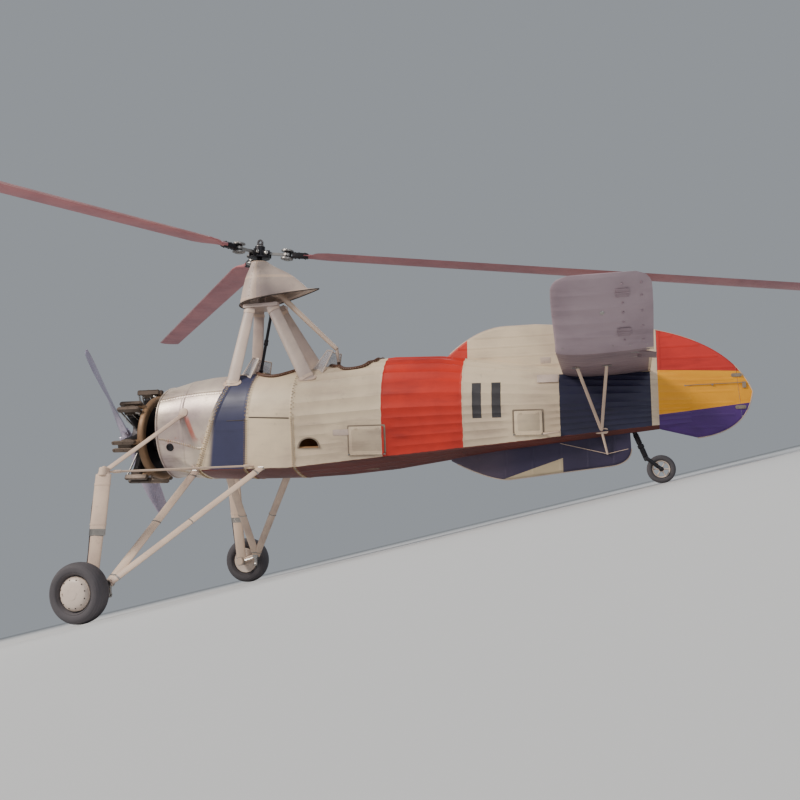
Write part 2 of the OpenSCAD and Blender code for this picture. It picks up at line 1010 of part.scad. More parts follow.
apex = [-565, 1209, -361];
wheel_plane_y = track / 2;
boss_y = wheel_plane_y - 89;
boss = [main_axle.x, boss_y - 66, main_axle.z];
stay_joint = [-765, boss.y + 10, main_axle.z + 62];

module apex_cap() {
    dir = unit(boss - apex);
    along(apex - dir * 34, apex + dir * 40)
        cylinder(r = 44, h = 74);
}

module shock_leg(side) {
    top = apex + unit(boss - apex) * 40;
    mid = mix(apex, boss, 0.52);
    color("antiquewhite")
        parked()
            port_or_starboard(side)
                difference() {
                    union() {
                        strut(top, mid, 150, 56);
                        strut(mid, boss + unit(apex - boss) * 40, 122, 50);
                        along(mix(apex, boss, 0.49), mix(apex, boss, 0.55))
                            linear_extrude(norm(boss - apex) * 0.06)
                                polygon(streamline(160, 66));
                    }
                    side_bar(boss.x, boss.z, boss.y - 200, boss_y + 200, 48);
                    stay_arm();
                }
}

module left_shock_leg() { shock_leg(1); }
module right_shock_leg() { shock_leg(-1); }

// Arm that carries the stays and the tie-down lug behind the wheel fitting
module stay_arm() {
    start = boss + [-40, -10, 12];
    along(start, stay_joint)
        linear_extrude(norm(stay_joint - start) - 20)
            square([36, 30], center = true);
}

// Wheel fitting: boss round the axle, arm back to the stays, and a tie-down lug
axle_r = 20;
lug_hole_r = 10;
lug_l = 24;

module lug_bar(r, l) {
    translate([stay_joint.x, boss.y, stay_joint.z - 92])
        rotate([0, 90, 0])
            cylinder(r = r, h = l, center = true);
}

module axle(side) {
    color("dimgray")
        parked()
            port_or_starboard(side)
                difference() {
                    union() {
                        side_bar(boss.x, boss.z, boss.y - 40, boss_y, 48);
                        side_bar(boss.x, boss.z, boss.y, main_axle.y + 70, axle_r);
                        stay_arm();
                        side_bar(stay_joint.x, stay_joint.z, boss.y - 30, boss.y + 34, 30);
                        translate([stay_joint.x - 12, boss.y - 12, stay_joint.z - 92])
                            cube([24, 24, 92]);
                        lug_bar(22, lug_l);
                    }
                    lug_bar(lug_hole_r, 3 * lug_l);
                }
}

module left_axle() { axle(1); }
module right_axle() { axle(-1); }

front_stay_top = [-954, chine_w_at(-954) - 30, chine_z_at(-954) + 15];
rear_stay_top = [-1646, chine_w_at(-1646) - 30, chine_z_at(-1646) + 15];

module stay_pair() {
    strut(stay_joint, front_stay_top, 92, 34);
    strut(stay_joint, rear_stay_top, 76, 32);
}

module gear_stays(side) {
    color("antiquewhite")
        parked()
            difference() {
                port_or_starboard(side)
                    difference() {
                        stay_pair();
                        side_bar(stay_joint.x, stay_joint.z, boss.y - 80, boss.y + 80, 30);
                        stay_arm();
                        translate([stay_joint.x - 12, boss.y - 12, stay_joint.z - 92])
                            cube([24, 24, 92]);
                    }
                form(cowl_x, seam_x);
            }
}

module left_gear_stays() { gear_stays(1); }
module right_gear_stays() { gear_stays(-1); }

module upper_struts(side) {
    color("antiquewhite")
        parked()
            difference() {
                port_or_starboard(side)
                    difference() {
                        union() {
                            apex_cap();
                            strut(apex, [-855, 350, 206], 60, 26);
                            tube(apex, front_stay_top + [40, 0, 10], 9);
                            tube(apex, rear_stay_top + [50, 0, 10], 9);
                        }
                        stay_pair();
                    }
                form(cowl_x, seam_x);
            }
}

module left_upper_struts() { upper_struts(1); }
module right_upper_struts() { upper_struts(-1); }

rim_r = 0.28 * tyre_d;

module wheel(side) {
    w = 0.29 * tyre_w;
    r = rim_r;
    color("cornsilk")
        parked()
            port_or_starboard(side)
                translate(main_axle)
                    rotate([-90, 0, 0])
                        rotate_extrude()
                            polygon([[axle_r + fit, -75], [48, -75], [62, -w], [r - 10, -w - 6], [r, -w],
                                [r, w], [r - 8, w + 8], [0.246 * tyre_d, w + 22], [0.22 * tyre_d, w + 38],
                                [0.14 * tyre_d, w + 50], [0, w + 54], [0, 75], [axle_r + fit, 75]]);
}

module left_wheel() { wheel(1); }
module right_wheel() { wheel(-1); }

// Tyre section: a flattened round, open at the rim
function tyre_section(outer, inner, w) = let (mid = (outer + inner) / 2, h = (outer - inner) / 2)
    concat([[inner, w * 0.30]],
        [for (a = [140:-20:-140]) [mid + h * 1.0 * cos(a), w / 2 * sin(a)]],
        [[inner, -w * 0.30]]);

module tyre(side) {
    color("dimgray")
        parked()
            port_or_starboard(side)
                translate(main_axle)
                    rotate([-90, 0, 0])
                        rotate_extrude()
                            polygon(tyre_section(tyre_d / 2, rim_r, tyre_w));
}

module left_tyre() { tyre(1); }
module right_tyre() { tyre(-1); }

// Tail wheel: a fixed tube, then a swivelling leg that bends round one side of the wheel
tail_leg_top = [-4962, 0, -60];
steer_low = [-5068, 0, -330];
collar_at = mix(tail_leg_top, steer_low, 0.58);
tail_tyre_w = 62;
tow_pin_r = 8;
tail_rim_r = 0.3 * tail_tyre_d;

module tailwheel_leg() {
    color("antiquewhite")
        parked()
            difference() {
                union() {
                    tube(tail_leg_top, collar_at, 19);
                    tube(mix(tail_leg_top, steer_low, 0.48), collar_at, 27);
                }
                tube(mix(tail_leg_top, steer_low, 0.30), mix(tail_leg_top, steer_low, 0.7), 12 + fit);
                form(bulkhead_x, stern_x);
            }
}

module tailwheel_fork() {
    side_y = 58;
    knee = mix(tail_leg_top, steer_low, 0.92);
    hip = [-5066, side_y, -312];
    color("antiquewhite")
        parked()
            union() {
                tube(mix(tail_leg_top, steer_low, 0.36), knee, 12);
                tube(mix(tail_leg_top, steer_low, 0.60), knee, 19);
                translate(knee)
                    sphere(r = 21);
                tube(knee, hip, 16);
                translate(hip)
                    sphere(r = 18);
                tube(hip, [tail_axle.x, side_y, tail_axle.z], 16);
                side_bar(tail_axle.x, tail_axle.z, side_y - 19, side_y + 20, 18);
                side_bar(tail_axle.x, tail_axle.z, -36, side_y, 9);
                side_bar(tail_axle.x, tail_axle.z, -80, -35, tow_pin_r);
            }
}

module tail_wheel() {
    color("antiquewhite")
        parked()
            translate(tail_axle)
                rotate([-90, 0, 0])
                    rotate_extrude()
                        polygon([[9 + fit, -30], [20, -30], [24, -10], [tail_rim_r - 8, -10],
                            [tail_rim_r - 6, -22], [tail_rim_r, -22], [tail_rim_r, 22],
                            [tail_rim_r - 6, 22], [tail_rim_r - 8, 10], [24, 10], [20, 30], [9 + fit, 30]]);
}

module tail_tyre() {
    color("dimgray")
        parked()
            translate(tail_axle)
                rotate([-90, 0, 0])
                    rotate_extrude()
                        polygon(tyre_section(tail_tyre_d / 2, tail_rim_r, tail_tyre_w));
}

nose_cowl();
front_fuselage();
mid_fuselage();
rear_fuselage();
crankcase();
cylinders();
exhaust_ring();
propeller();
prop_hub();
pylon_front_legs();
pylon_rear_legs();
pylon_head();
head_fairing();
starter_shaft();
head_gimbal();
rotor_head();
control_column();
rotor_hub();
blade_link_1();
blade_link_2();
blade_link_3();
blade_1();
blade_2();
blade_3();
front_windscreen();
rear_windscreen();
seats();
instrument_panels();
door_hinges();
locker_door();
inspection_door();
left_tailplane();
right_tailplane();
tail_tabs();
tailplane_struts();
dorsal_fin();
tail_fin();
fin_tab();
ventral_fin();
left_shock_leg();
right_shock_leg();
left_gear_stays();
right_gear_stays();
left_upper_struts();
right_upper_struts();
left_axle();
right_axle();
left_wheel();
right_wheel();
left_tyre();
right_tyre();
tailwheel_leg();
tailwheel_fork();
tail_wheel();
tail_tyre();
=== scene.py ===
import random
from math import copysign, cos, exp, pi, radians, sin, sqrt

import bmesh
import bpy
from mathutils import Matrix, Vector


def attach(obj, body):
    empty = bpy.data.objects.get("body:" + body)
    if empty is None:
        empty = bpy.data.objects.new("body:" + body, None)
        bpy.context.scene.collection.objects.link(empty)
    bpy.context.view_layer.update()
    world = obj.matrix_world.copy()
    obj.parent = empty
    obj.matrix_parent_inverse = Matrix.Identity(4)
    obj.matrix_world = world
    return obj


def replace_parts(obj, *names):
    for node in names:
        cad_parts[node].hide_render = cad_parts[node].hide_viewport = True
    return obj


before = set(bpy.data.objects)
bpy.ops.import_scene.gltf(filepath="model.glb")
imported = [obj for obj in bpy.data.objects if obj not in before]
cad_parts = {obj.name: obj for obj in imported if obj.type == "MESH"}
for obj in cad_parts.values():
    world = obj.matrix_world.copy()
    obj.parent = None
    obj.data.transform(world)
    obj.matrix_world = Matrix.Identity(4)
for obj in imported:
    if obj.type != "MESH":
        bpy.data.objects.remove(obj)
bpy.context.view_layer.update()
random.seed(11)

# ---- places, in the level frame of the aircraft: nose +X, port +Y, up +Z, propeller hub at zero

PITCH = radians(13.1728)
EYE = Vector((-1.4618373, 0.0, 1.9067912))
LEVEL = Matrix.Rotation(-PITCH, 4, "Y") @ Matrix.Translation(-EYE)
FLOOR_Z, FLOOR_HALF = -3.21709, 60
HUB_AT = Vector((-1.455, 0, 1.795))
SPINDLE = Matrix.Translation(HUB_AT) @ Matrix.Rotation(radians(-3.5), 4, "Y")
FLAP_R = 0.080
DRAG_R = 0.280
DROOP = radians(2.5)
COWL_X = -0.570
SIDES = (1, -1)  # port, starboard
SEAM_1 = (-1.250, 0.379, -0.357)
SEAM_2 = (-1.530, 0.580, -0.060)
SEAM_3 = -1.970
STERN_X = -5.450
CELLS = (7, 5, 4)  # spaces between stringers: crown, side, belly
# x, half width, crown, belly, chine half width, chine height, roundness
STATIONS = [
    (-0.570, 0.420, 0.480, -0.400, 0.304, -0.280, 1.0),
    (-0.800, 0.404, 0.540, -0.408, 0.332, -0.330, 0.5),
    (-1.000, 0.392, 0.570, -0.420, 0.340, -0.350, 0.0),
    (-1.250, 0.388, 0.584, -0.427, 0.344, -0.345, 0.0),
    (-1.600, 0.400, 0.590, -0.428, 0.352, -0.336, 0.0),
    (-1.970, 0.400, 0.600, -0.426, 0.352, -0.330, 0.0),
    (-2.400, 0.388, 0.640, -0.404, 0.340, -0.298, 0.0),
    (-2.870, 0.356, 0.680, -0.360, 0.304, -0.254, 0.0),
    (-3.300, 0.312, 0.667, -0.296, 0.264, -0.220, 0.0),
    (-3.800, 0.252, 0.592, -0.222, 0.212, -0.172, 0.0),
    (-4.383, 0.192, 0.502, -0.155, 0.160, -0.112, 0.0),
    (-4.800, 0.144, 0.466, -0.108, 0.116, -0.070, 0.0),
    (-5.150, 0.092, 0.448, -0.068, 0.072, -0.038, 0.0),
    (-5.450, 0.028, 0.436, -0.034, 0.027, -0.014, 0.0),
]


def mix(a, b, t):
    return a + (b - a) * t


def sweep(start, end, count):
    return [mix(start, end, i / count) for i in range(count + 1)]


def angles(count, offset=0):
    """Equal steps once round."""
    return [2 * pi * (i + offset) / count for i in range(count)]


def boxy(v, power):
    """A sine or cosine bent so that the round it draws comes nearer to a square."""
    return copysign(abs(v) ** power, v)


def measure(x, column):
    """One size of the fuselage section at x, on a line through the stations."""
    x = min(STATIONS[0][0], max(STATIONS[-1][0], x))
    for a, b in zip(STATIONS, STATIONS[1:]):
        if x >= b[0]:
            return mix(a[column], b[column], (x - a[0]) / (b[0] - a[0]))
    return STATIONS[-1][column]


def section(x, k):
    """Port skin at x: k 0 to 1 over the crown, to 2 down the side, to 3 under the belly."""
    w, top, low, cw, cz, r = (measure(x, c) for c in range(1, 7))
    mid = 0.28 * top + 0.30 * cz + 0.06
    if k <= 1:
        a = radians(90 * (1 - k))
        return Vector((x, w * cos(a) ** 0.92 if k > 0 else 0.0, mid + (top - mid) * sin(a) ** 0.92))
    a = radians(30 * (k - 1) if k <= 2 else 30 + 60 * (k - 2))
    oval = Vector((x, w * cos(a), mid - (mid - low) * sin(a)))
    if k <= 2:
        plain = Vector((x, mix(w, cw, k - 1), mix(mid, cz, k - 1)))
    else:
        plain = Vector((x, cw * (3 - k), low + (cz - low) * (3 - k) ** 2))
    return plain.lerp(oval, r)


def skin(x, k):
    """The covered surface: smooth ahead of the third seam, and drawn flat between stringers behind it."""
    p = section(x, k)
    if x > SEAM_3 - 0.004:
        return p
    part = min(2, int(k + 1e-9))
    parts = CELLS[part]
    cell = part + min(parts - 1, int((k - part) * parts + 1e-6)) / parts
    f = (k - cell) * parts
    flat = section(x, cell).lerp(section(x, cell + 1 / parts), f)
    calm = 1.0
    for (cx, cz), (w, h) in FLAT_SPOTS:
        near = max(abs(x - cx) / (w / 2 + 0.03), abs(flat.z - cz) / (h / 2 + 0.03))
        calm = min(calm, max(0.0, near - 1) * 4)
    slack = 0.008 * calm * sin(pi * f)
    inward = Vector((0, -flat.y, 0.1 - flat.z)).normalized()
    return flat + inward * slack


def outward(x, k):
    """The skin's normal, away from its middle."""
    d = 0.004
    along = skin(x + d, k) - skin(x - d, k)
    down = section(x, min(3, k + d)) - section(x, max(0, k - d))
    n = down.cross(along)
    n = -n if n.dot(section(x, k) - Vector((x, 0, 0.1))) < 0 else n
    return n.normalized()


def lifted(x, k, lift):
    return skin(x, k) + outward(x, k) * lift


def find_k(x, test, low, high):
    """Halves the span until it finds the k at which test turns false."""
    for _ in range(24):
        k = (low + high) / 2
        low, high = (k, high) if test(skin(x, k)) else (low, k)
    return (low + high) / 2


def on_flank(x, z, lift=0.0):
    """A place on the port skin at a height."""
    return lifted(x, find_k(x, lambda p: p.z > z, 0, 2.6), lift)


def on_crown(x, y, lift=0.0):
    """A place on top of the skin at a distance from the middle line."""
    p = lifted(x, find_k(x, lambda p: p.y < abs(y), 0, 1), lift)
    return Vector((p.x, copysign(p.y, y) if y else 0, p.z))


def slanted(seam, k):
    """x of a seam that leans in side view, where it crosses k."""
    x = seam[0]
    for _ in range(4):
        x = seam[0] + (section(x, k).z - seam[1]) * seam[2]
    return x


def mirrored(p, side):
    return Vector((p[0], p[1] * side, p[2]))


# ---- shapes


def frame_along(a, b, fore=(1, 0, 0)):
    """Stands at a with Z towards b and X as near to fore as it can be."""
    a, b, fore = Vector(a), Vector(b), Vector(fore)
    w = (b - a).normalized()
    u = (fore - fore.dot(w) * w).normalized()
    v = w.cross(u)
    return Matrix(((u.x, v.x, w.x, a.x), (u.y, v.y, w.y, a.y), (u.z, v.z, w.z, a.z), (0, 0, 0, 1)))


def facing(p, n, fore=(1, 0, 0)):
    """Stands at p with Z along n."""
    return frame_along(p, Vector(p) + Vector(n), fore)


def shift(x, y, z):
    return Matrix.Translation((x, y, z))


def tilt(degrees, axis):
    return Matrix.Rotation(radians(degrees), 4, axis)


def placed(place, *points):
    return [place @ Vector(p) for p in points]


def swung(place, x, y, z):
    """A direction in place's own axes."""
    return place.to_3x3() @ Vector((x, y, z))


def side_frame(x, z, lift=0.0, side=1):
    """On the flank: X aft, Y up the skin, Z outward."""
    p = on_flank(x, z)
    fore = (on_flank(x + 0.1, z) - p).normalized()
    rise = (on_flank(x, z + 0.06) - p).normalized()
    out = rise.cross(fore).normalized()
    up = fore.cross(out)
    p = p + out * lift
    m = Matrix(((-fore.x, up.x, out.x, p.x), (-fore.y, up.y, out.y, p.y), (-fore.z, up.z, out.z, p.z),
        (0, 0, 0, 1)))
    return Matrix.Scale(side, 4, (0, 1, 0)) @ m if side < 0 else m


def rounded(w, h, r, steps=4):
    """Outline of a rounded rectangle."""
    corners = [(w / 2 - r, h / 2 - r, 0), (r - w / 2, h / 2 - r, 90), (r - w / 2, r - h / 2, 180),
        (w / 2 - r, r - h / 2, 270)]
    return [(x + r * cos(radians(a + 90 * i / steps)), y + r * sin(radians(a + 90 * i / steps)))
        for x, y, a in corners for i in range(steps + 1)]


def half_thick(s):
    return 5 * (0.2969 * sqrt(s) - 0.126 * s - 0.3516 * s * s + 0.2843 * s**3 - 0.1036 * s**4)


def foil(lead, chord, thick, back, up, steps=18):
    """A symmetric wing section from its leading edge."""
    lead, back, up = Vector(lead), Vector(back), Vector(up)
    s = [(1 - cos(pi * i / steps)) / 2 for i in range(steps + 1)]
    over = [lead + back * chord * t + up * thick * half_thick(t) for t in reversed(s)]
    return over + [lead + back * chord * t - up * thick * half_thick(t) for t in s[1:-1]]


class Shape:
    """Points and faces of one piece, in the level frame."""

    def __init__(self):
        self.points, self.faces = [], []

    def add(self, points, faces, place=None):
        start = len(self.points)
        self.points += [tuple(place @ Vector(p)) if place else tuple(p) for p in points]
        self.faces += [tuple(start + i for i in f) for f in faces]
        return self

    def loft(self, rings, ends=True, closed=True, place=None):
        """Joins rings of equal count; ends closes both, closed joins each ring to its start."""
        n, m = len(rings[0]), len(rings)
        faces = [(k * n + i, k * n + (i + 1) % n, (k + 1) * n + (i + 1) % n, (k + 1) * n + i)
            for k in range(m - 1) for i in range(n if closed else n - 1)]
        if ends:
            faces += [tuple(range(n - 1, -1, -1)), tuple((m - 1) * n + i for i in range(n))]
        return self.add([p for r in rings for p in r], faces, place)

    def lathe(self, profile, place, steps=48, ends=True):
        """Turns (radius, height) pairs round Z."""
        turns = [(cos(a), sin(a)) for a in angles(steps)]
        return self.loft([[(r * c, r * s, h) for c, s in turns] for r, h in profile], ends, True, place)

    def band(self, profile, place, steps=64):
        """A closed section turned right round."""
        turns = [(cos(2 * pi * i / steps), sin(2 * pi * i / steps)) for i in range(steps + 1)]
        return self.loft([[(r * c, r * s, h) for r, h in profile] for c, s in turns], False, True, place)

    def tube(self, path, r, steps=12, ends=True, flat=1.0):
        """A round bar along a line, with one radius or one for each point."""
        path = [Vector(p) for p in path]
        radii = r if isinstance(r, (list, tuple)) else [r] * len(path)
        side = None
        rings = []
        for i, p in enumerate(path):
            t = (path[min(i + 1, len(path) - 1)] - path[max(i - 1, 0)]).normalized()
            if side is None:
                side = t.orthogonal().normalized()
            side = (side - side.dot(t) * t).normalized()
            up = t.cross(side)
            rings.append([p + (side * cos(a) + up * flat * sin(a)) * radii[i] for a in angles(steps)])
        return self.loft(rings, ends)

    def hoop(self, path, r, steps=10):
        """A tube along a closed line."""
        n = len(path)
        side = None
        rings = []
        for i, p in enumerate(path):
            t = (path[(i + 1) % n] - path[i - 1]).normalized()
            side = t.orthogonal() if side is None else side
            side = (side - side.dot(t) * t).normalized()
            up = side.cross(t)
            rings.append([p + (side * cos(a) + up * sin(a)) * r for a in angles(steps)])
        return self.loft(rings + [rings[0]], False)

    def plate(self, w, d, h, place=None, r=None, bevel=None):
        """A block with rounded corners and eased edges, standing on its middle."""
        r = min(w, d) * 0.12 if r is None else r
        bevel = min(w, d, h) * 0.15 if bevel is None else bevel
        rings = [[(x * (w - 2 * e) / w, y * (d - 2 * e) / d, z) for x, y in rounded(w, d, r)]
            for e, z in ((bevel, 0), (0, bevel), (0, h - bevel), (bevel, h))]
        return self.loft(rings, True, True, place)

    def stud(self, p, n, r, h=None, steps=8):
        """A domed bolt or rivet head at p, facing n."""
        h = r * 0.6 if h is None else h
        place = frame_along(p, Vector(p) + Vector(n), (0.3, 0.4, 0.9))
        return self.lathe([(r, -h * 0.3), (r, h * 0.2), (r * 0.75, h * 0.8), (r * 0.3, h)], place, steps)

    def strut(self, a, b, chord, thick, chord_b=None, thick_b=None, fore=(1, 0, 0), place=None):
        """A streamlined bar, blunt side towards fore."""
        place = place or frame_along(a, b, fore)
        length = (Vector(b) - Vector(a)).length
        rings = []
        for t in (0, 0.004, 0.25, 0.5, 0.75, 0.996, 1):
            c, th = mix(chord, chord_b or chord, t), mix(thick, thick_b or thick, t)
            c, th = (c - 0.006, th - 0.006) if t in (0, 1) else (c, th)
            rings.append([(c / 2 * cos(q), th / 2 * sin(q) * (1 + 0.3 * cos(q)), length * t)
                for q in angles(36)])
        return self.loft(rings, True, True, place)


def solid(shape, name):
    mesh = bpy.data.meshes.new(name)
    mesh.from_pydata([tuple(p) for p in shape.points], [], shape.faces)
    mesh.transform(LEVEL)
    bm = bmesh.new()
    bm.from_mesh(mesh)
    bmesh.ops.remove_doubles(bm, verts=bm.verts, dist=2e-6)
    bmesh.ops.dissolve_degenerate(bm, dist=1e-6, edges=bm.edges)
    bmesh.ops.recalc_face_normals(bm, faces=bm.faces)
    bm.to_mesh(mesh)
    bm.free()
    obj = bpy.data.objects.new(name, mesh)
    bpy.context.scene.collection.objects.link(obj)
    return obj


def piece(shape, name, finish, body="airframe", smooth=38, cutters=()):
    """Makes the object, less its cutters, and sets its finish and its body."""
    obj = solid(shape, name)
    for cutter in cutters:
        cut(obj, cutter)
    obj.data.materials.clear()
    obj.data.materials.append(finish.material)
    for face in obj.data.polygons:
        face.use_smooth = True
        face.material_index = 0
    obj.data.set_sharp_from_angle(angle=radians(smooth))
    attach(obj, body)
    return obj


def cut(obj, shape):
    """Takes a closed shape out of a piece."""
    tool = solid(shape, "tool")
    modifier = obj.modifiers.new("cut", "BOOLEAN")
    modifier.operation, modifier.solver, modifier.object = "DIFFERENCE", "EXACT", tool
    bpy.context.view_layer.update()
    result = bpy.data.meshes.new_from_object(obj.evaluated_get(bpy.context.evaluated_depsgraph_get()))
    obj.modifiers.clear()
    obj.data = result
    bpy.data.objects.remove(tool)


# ---- finishes


class Val:
    """A number that changes over a surface. Arithmetic on it adds Math nodes."""

    def __init__(self, finish, socket):
        self.finish, self.socket = finish, socket

    def math(self, kind, *values, clamp=False):
        return self.finish.node("ShaderNodeMath", {"operation": kind, "use_clamp": clamp}, values)

    def __add__(self, other):
        return self.math("ADD", self, other)

    def __sub__(self, other):
        return self.math("SUBTRACT", self, other)

    def __mul__(self, other):
        return self.math("MULTIPLY", self, other)

    def __gt__(self, other):
        return self.math("GREATER_THAN", self, other)

    def __lt__(self, other):
        return self.math("LESS_THAN", self, other)

    def most(self, other):
        return self.math("MAXIMUM", self, other)

    def size(self):
        return self.math("ABSOLUTE", self)

    def wave(self, length):
        """0 to 1 and back once in each length."""
        return self.math("SINE", self * (2 * pi / length)) * 0.5 + 0.5

    def ease(self, start, end):
        """0 at start, 1 at end."""
        return self.finish.node("ShaderNodeMapRange", {"interpolation_type": "SMOOTHSTEP"},
            (self, start, end, 0.0, 1.0))


class Finish:
    """A material, with the level place of each point of it."""

    def __init__(self, name):
        self.material = bpy.data.materials.new(name)
        self.material.use_nodes = True
        self.tree = self.material.node_tree
        self.shader = self.tree.nodes["Principled BSDF"]
        here = self.node("ShaderNodeTexCoord", out="Object")
        self.place = self.node("ShaderNodeMapping", {"vector_type": "POINT"},
            {"Vector": here, "Rotation": (0, PITCH, 0), "Location": tuple(EYE)})
        self.x, self.y, self.z = (self.node("ShaderNodeSeparateXYZ", (), (self.place,), out=i)
            for i in range(3))

    def node(self, kind, settings=(), inputs=(), out=0):
        node = self.tree.nodes.new(kind)
        for key, value in dict(settings).items():
            setattr(node, key, value)
        for key, value in inputs.items() if isinstance(inputs, dict) else enumerate(inputs):
            self.put(node.inputs[key], value)
        return Val(self, node.outputs[out])

    def put(self, socket, value):
        if isinstance(value, Val):
            self.tree.links.new(value.socket, socket)
        elif socket.type == "RGBA":
            socket.default_value = (*value[:3], 1.0)
        else:
            socket.default_value = value

    def noise(self, scale, detail=3.0, rough=0.55, stretch=None):
        """Soft noise, which stretch scales along each axis."""
        place = self.place
        if stretch:
            place = self.node("ShaderNodeMapping", (), {"Vector": place, "Scale": stretch})
        return self.node("ShaderNodeTexNoise", (), {"Vector": place, "Scale": scale, "Detail": detail,
            "Roughness": rough})

    def cells(self, scale):
        return self.node("ShaderNodeTexVoronoi", (), {"Vector": self.place, "Scale": scale})

    def blend(self, k, a, b):
        return self.node("ShaderNodeMix", {"data_type": "RGBA"}, {0: k, 6: a, 7: b}, out=2)

    def relief(self, height, depth, under=None):
        """A bump of a height in metres, over the one under it."""
        inputs = {"Height": height, "Distance": depth, "Strength": 1.0}
        if under is not None:
            inputs["Normal"] = under
        return self.node("ShaderNodeBump", (), inputs)

    def surface(self, colour, rough, normal=None, metallic=None, **uniform):
        self.put(self.shader.inputs["Base Color"], colour)
        self.put(self.shader.inputs["Roughness"], rough)
        if normal is not None:
            self.put(self.shader.inputs["Normal"], normal)
        if metallic is not None:
            self.put(self.shader.inputs["Metallic"], metallic)
        for key, value in uniform.items():
            self.put(self.shader.inputs[key.replace("_", " ")], value)
        return self


def rgb(*levels):
    """Linear colour from 0 to 255 screen levels."""
    return tuple((v / 255 / 12.92) if v < 10 else ((v / 255 + 0.055) / 1.055) ** 2.4 for v in levels)


def worn(name, base, shade, rough=0.5, metal=0.0, grain=60.0, depth=0.0004, grime=0.5, chips=None, **uniform):
    """Painted or bare metal: drifting tone, fine grain, grime in patches, and chips that show what is below.
    Colours are screen levels."""
    m = Finish(name)
    base, shade = rgb(*base), rgb(*shade)
    broad, fine, spots = m.noise(2.3, 5), m.noise(grain, 4), m.noise(11, 6, 0.7)
    colour = m.blend(broad.ease(0.35, 0.72) * grime, base, shade)
    colour = m.blend(spots.ease(0.56, 0.78) * grime * 0.7, colour, tuple(c * 0.45 for c in shade))
    bare = metal
    if chips:
        chip = m.cells(70).ease(0.10, 0.04) * spots.ease(0.50, 0.60)
        colour = m.blend(chip, colour, rgb(*chips))
        bare = chip * (0.8 - metal) + metal
    return m.surface(colour, fine * 0.25 + spots * 0.2 + (rough - 0.22), m.relief(fine, depth), bare, **uniform)


CREAM = rgb(228, 207, 176)
CREAM_SHADE = rgb(172, 150, 132)
RED = rgb(208, 42, 18)
RED_SHADE = rgb(138, 18, 14)
# painted shade colour: the navy of shadows falling on the cream paint
SHADOW_NAVY = rgb(34, 34, 66)
# painted shade colour of the underside, warm from light bounced off the ground
BELLY_SHADE = rgb(98, 36, 28)
YELLOW = rgb(252, 178, 0)
PURPLE = rgb(80, 36, 122)


def cloth(name, paint):
    """Doped linen: paint(m, wear) gives the colour; a fine weave and slack give the relief."""
    m = Finish(name)
    broad, spots = m.noise(1.7, 5), m.noise(7, 6, 0.7)
    streak = m.noise(5, 4, 0.6, (0.35, 1.0, 2.4))
    weave = m.x.wave(0.0016) * m.z.wave(0.0016)
    wear = broad.ease(0.36, 0.70) * 0.55 + streak.ease(0.50, 0.75) * 0.35
    colour = paint(m, wear, spots)
    slack = m.noise(4.2, 2)
    normal = m.relief(weave, 0.00012, m.relief(slack, 0.004))
    return m.surface(colour, wear * 0.18 + spots * 0.15 + 0.42, normal, Coat_Weight=0.12, Coat_Roughness=0.35)


RED_BAND = (-3.52, -2.80)
# rear edge of the painted rotor-blade shadow that crosses the front fuselage
BLADE_SHADOW_REAR = -1.53
# x span and top of the painted tailplane shadow on the rear fuselage
TAILPLANE_SHADOW_X = (-5.12, -4.36)
TAILPLANE_SHADOW_TOP = 0.432
FLAG_X = -5.18


def flag_paint(m, wear):
    upper = m.z > (m.x - FLAG_X) * 0.055 + 0.44
    lower = m.z < (m.x - FLAG_X) * -0.11 + 0.055
    yellow = m.blend(wear, YELLOW, rgb(222, 138, 0))
    purple = m.blend(wear, PURPLE, rgb(66, 34, 96))
    return m.blend(lower, m.blend(upper, yellow, m.blend(wear, rgb(212, 42, 30), RED_SHADE)), purple)


def hull_paint(m, wear, spots):
    cream = m.blend(wear, CREAM, CREAM_SHADE)
    cream = m.blend(spots.ease(0.58, 0.8) * 0.45, cream, rgb(122, 104, 92))
    edge = (m.noise(14, 2) - 0.5) * 0.012
    red = m.blend(wear, RED, RED_SHADE)
    colour = m.blend((m.x + edge < RED_BAND[1]) * (m.x + edge > RED_BAND[0]), cream, red)
    # painted shadow of a rotor blade: a dark blue band over the front fuselage, soft at its front edge, ending
    # at the second seam
    blade_shadow = m.blend(wear, rgb(52, 54, 88), rgb(30, 31, 60))
    rear_line = m.x + (m.z - 0.58) * 0.06
    colour = m.blend((m.x + (m.z - 0.45) * 0.12).ease(-1.15, -1.23) * (rear_line > BLADE_SHADOW_REAR), colour, blade_shadow)
    # painted shadow of the tailplane: a navy block on the fuselage sides beneath it
    shade_navy = m.blend(wear, SHADOW_NAVY, rgb(20, 20, 40))
    colour = m.blend((m.x + edge < TAILPLANE_SHADOW_X[1]) * (m.x > TAILPLANE_SHADOW_X[0]) * (m.z < TAILPLANE_SHADOW_TOP), colour, shade_navy)
    # painted shade: below the chine the fuselage is darkened to a warm maroon, as the underside looks in shadow
    chine = ((m.x + 1.97) * -0.0925 - 0.33).most(-0.338)
    belly = m.blend(wear, BELLY_SHADE, rgb(60, 22, 18))
    colour = m.blend((m.z + edge < chine) * (m.x < -1.02), colour, belly)
    return m.blend(m.x < FLAG_X, colour, flag_paint(m, wear))


def fin_paint(m, wear, spots):
    cream = m.blend(wear, CREAM, CREAM_SHADE)
    red = m.blend(wear, RED, RED_SHADE)
    colour = m.blend(m.x > RED_BAND[0] - 0.01, cream, red)
    return m.blend(m.x < FLAG_X, colour, flag_paint(m, wear))


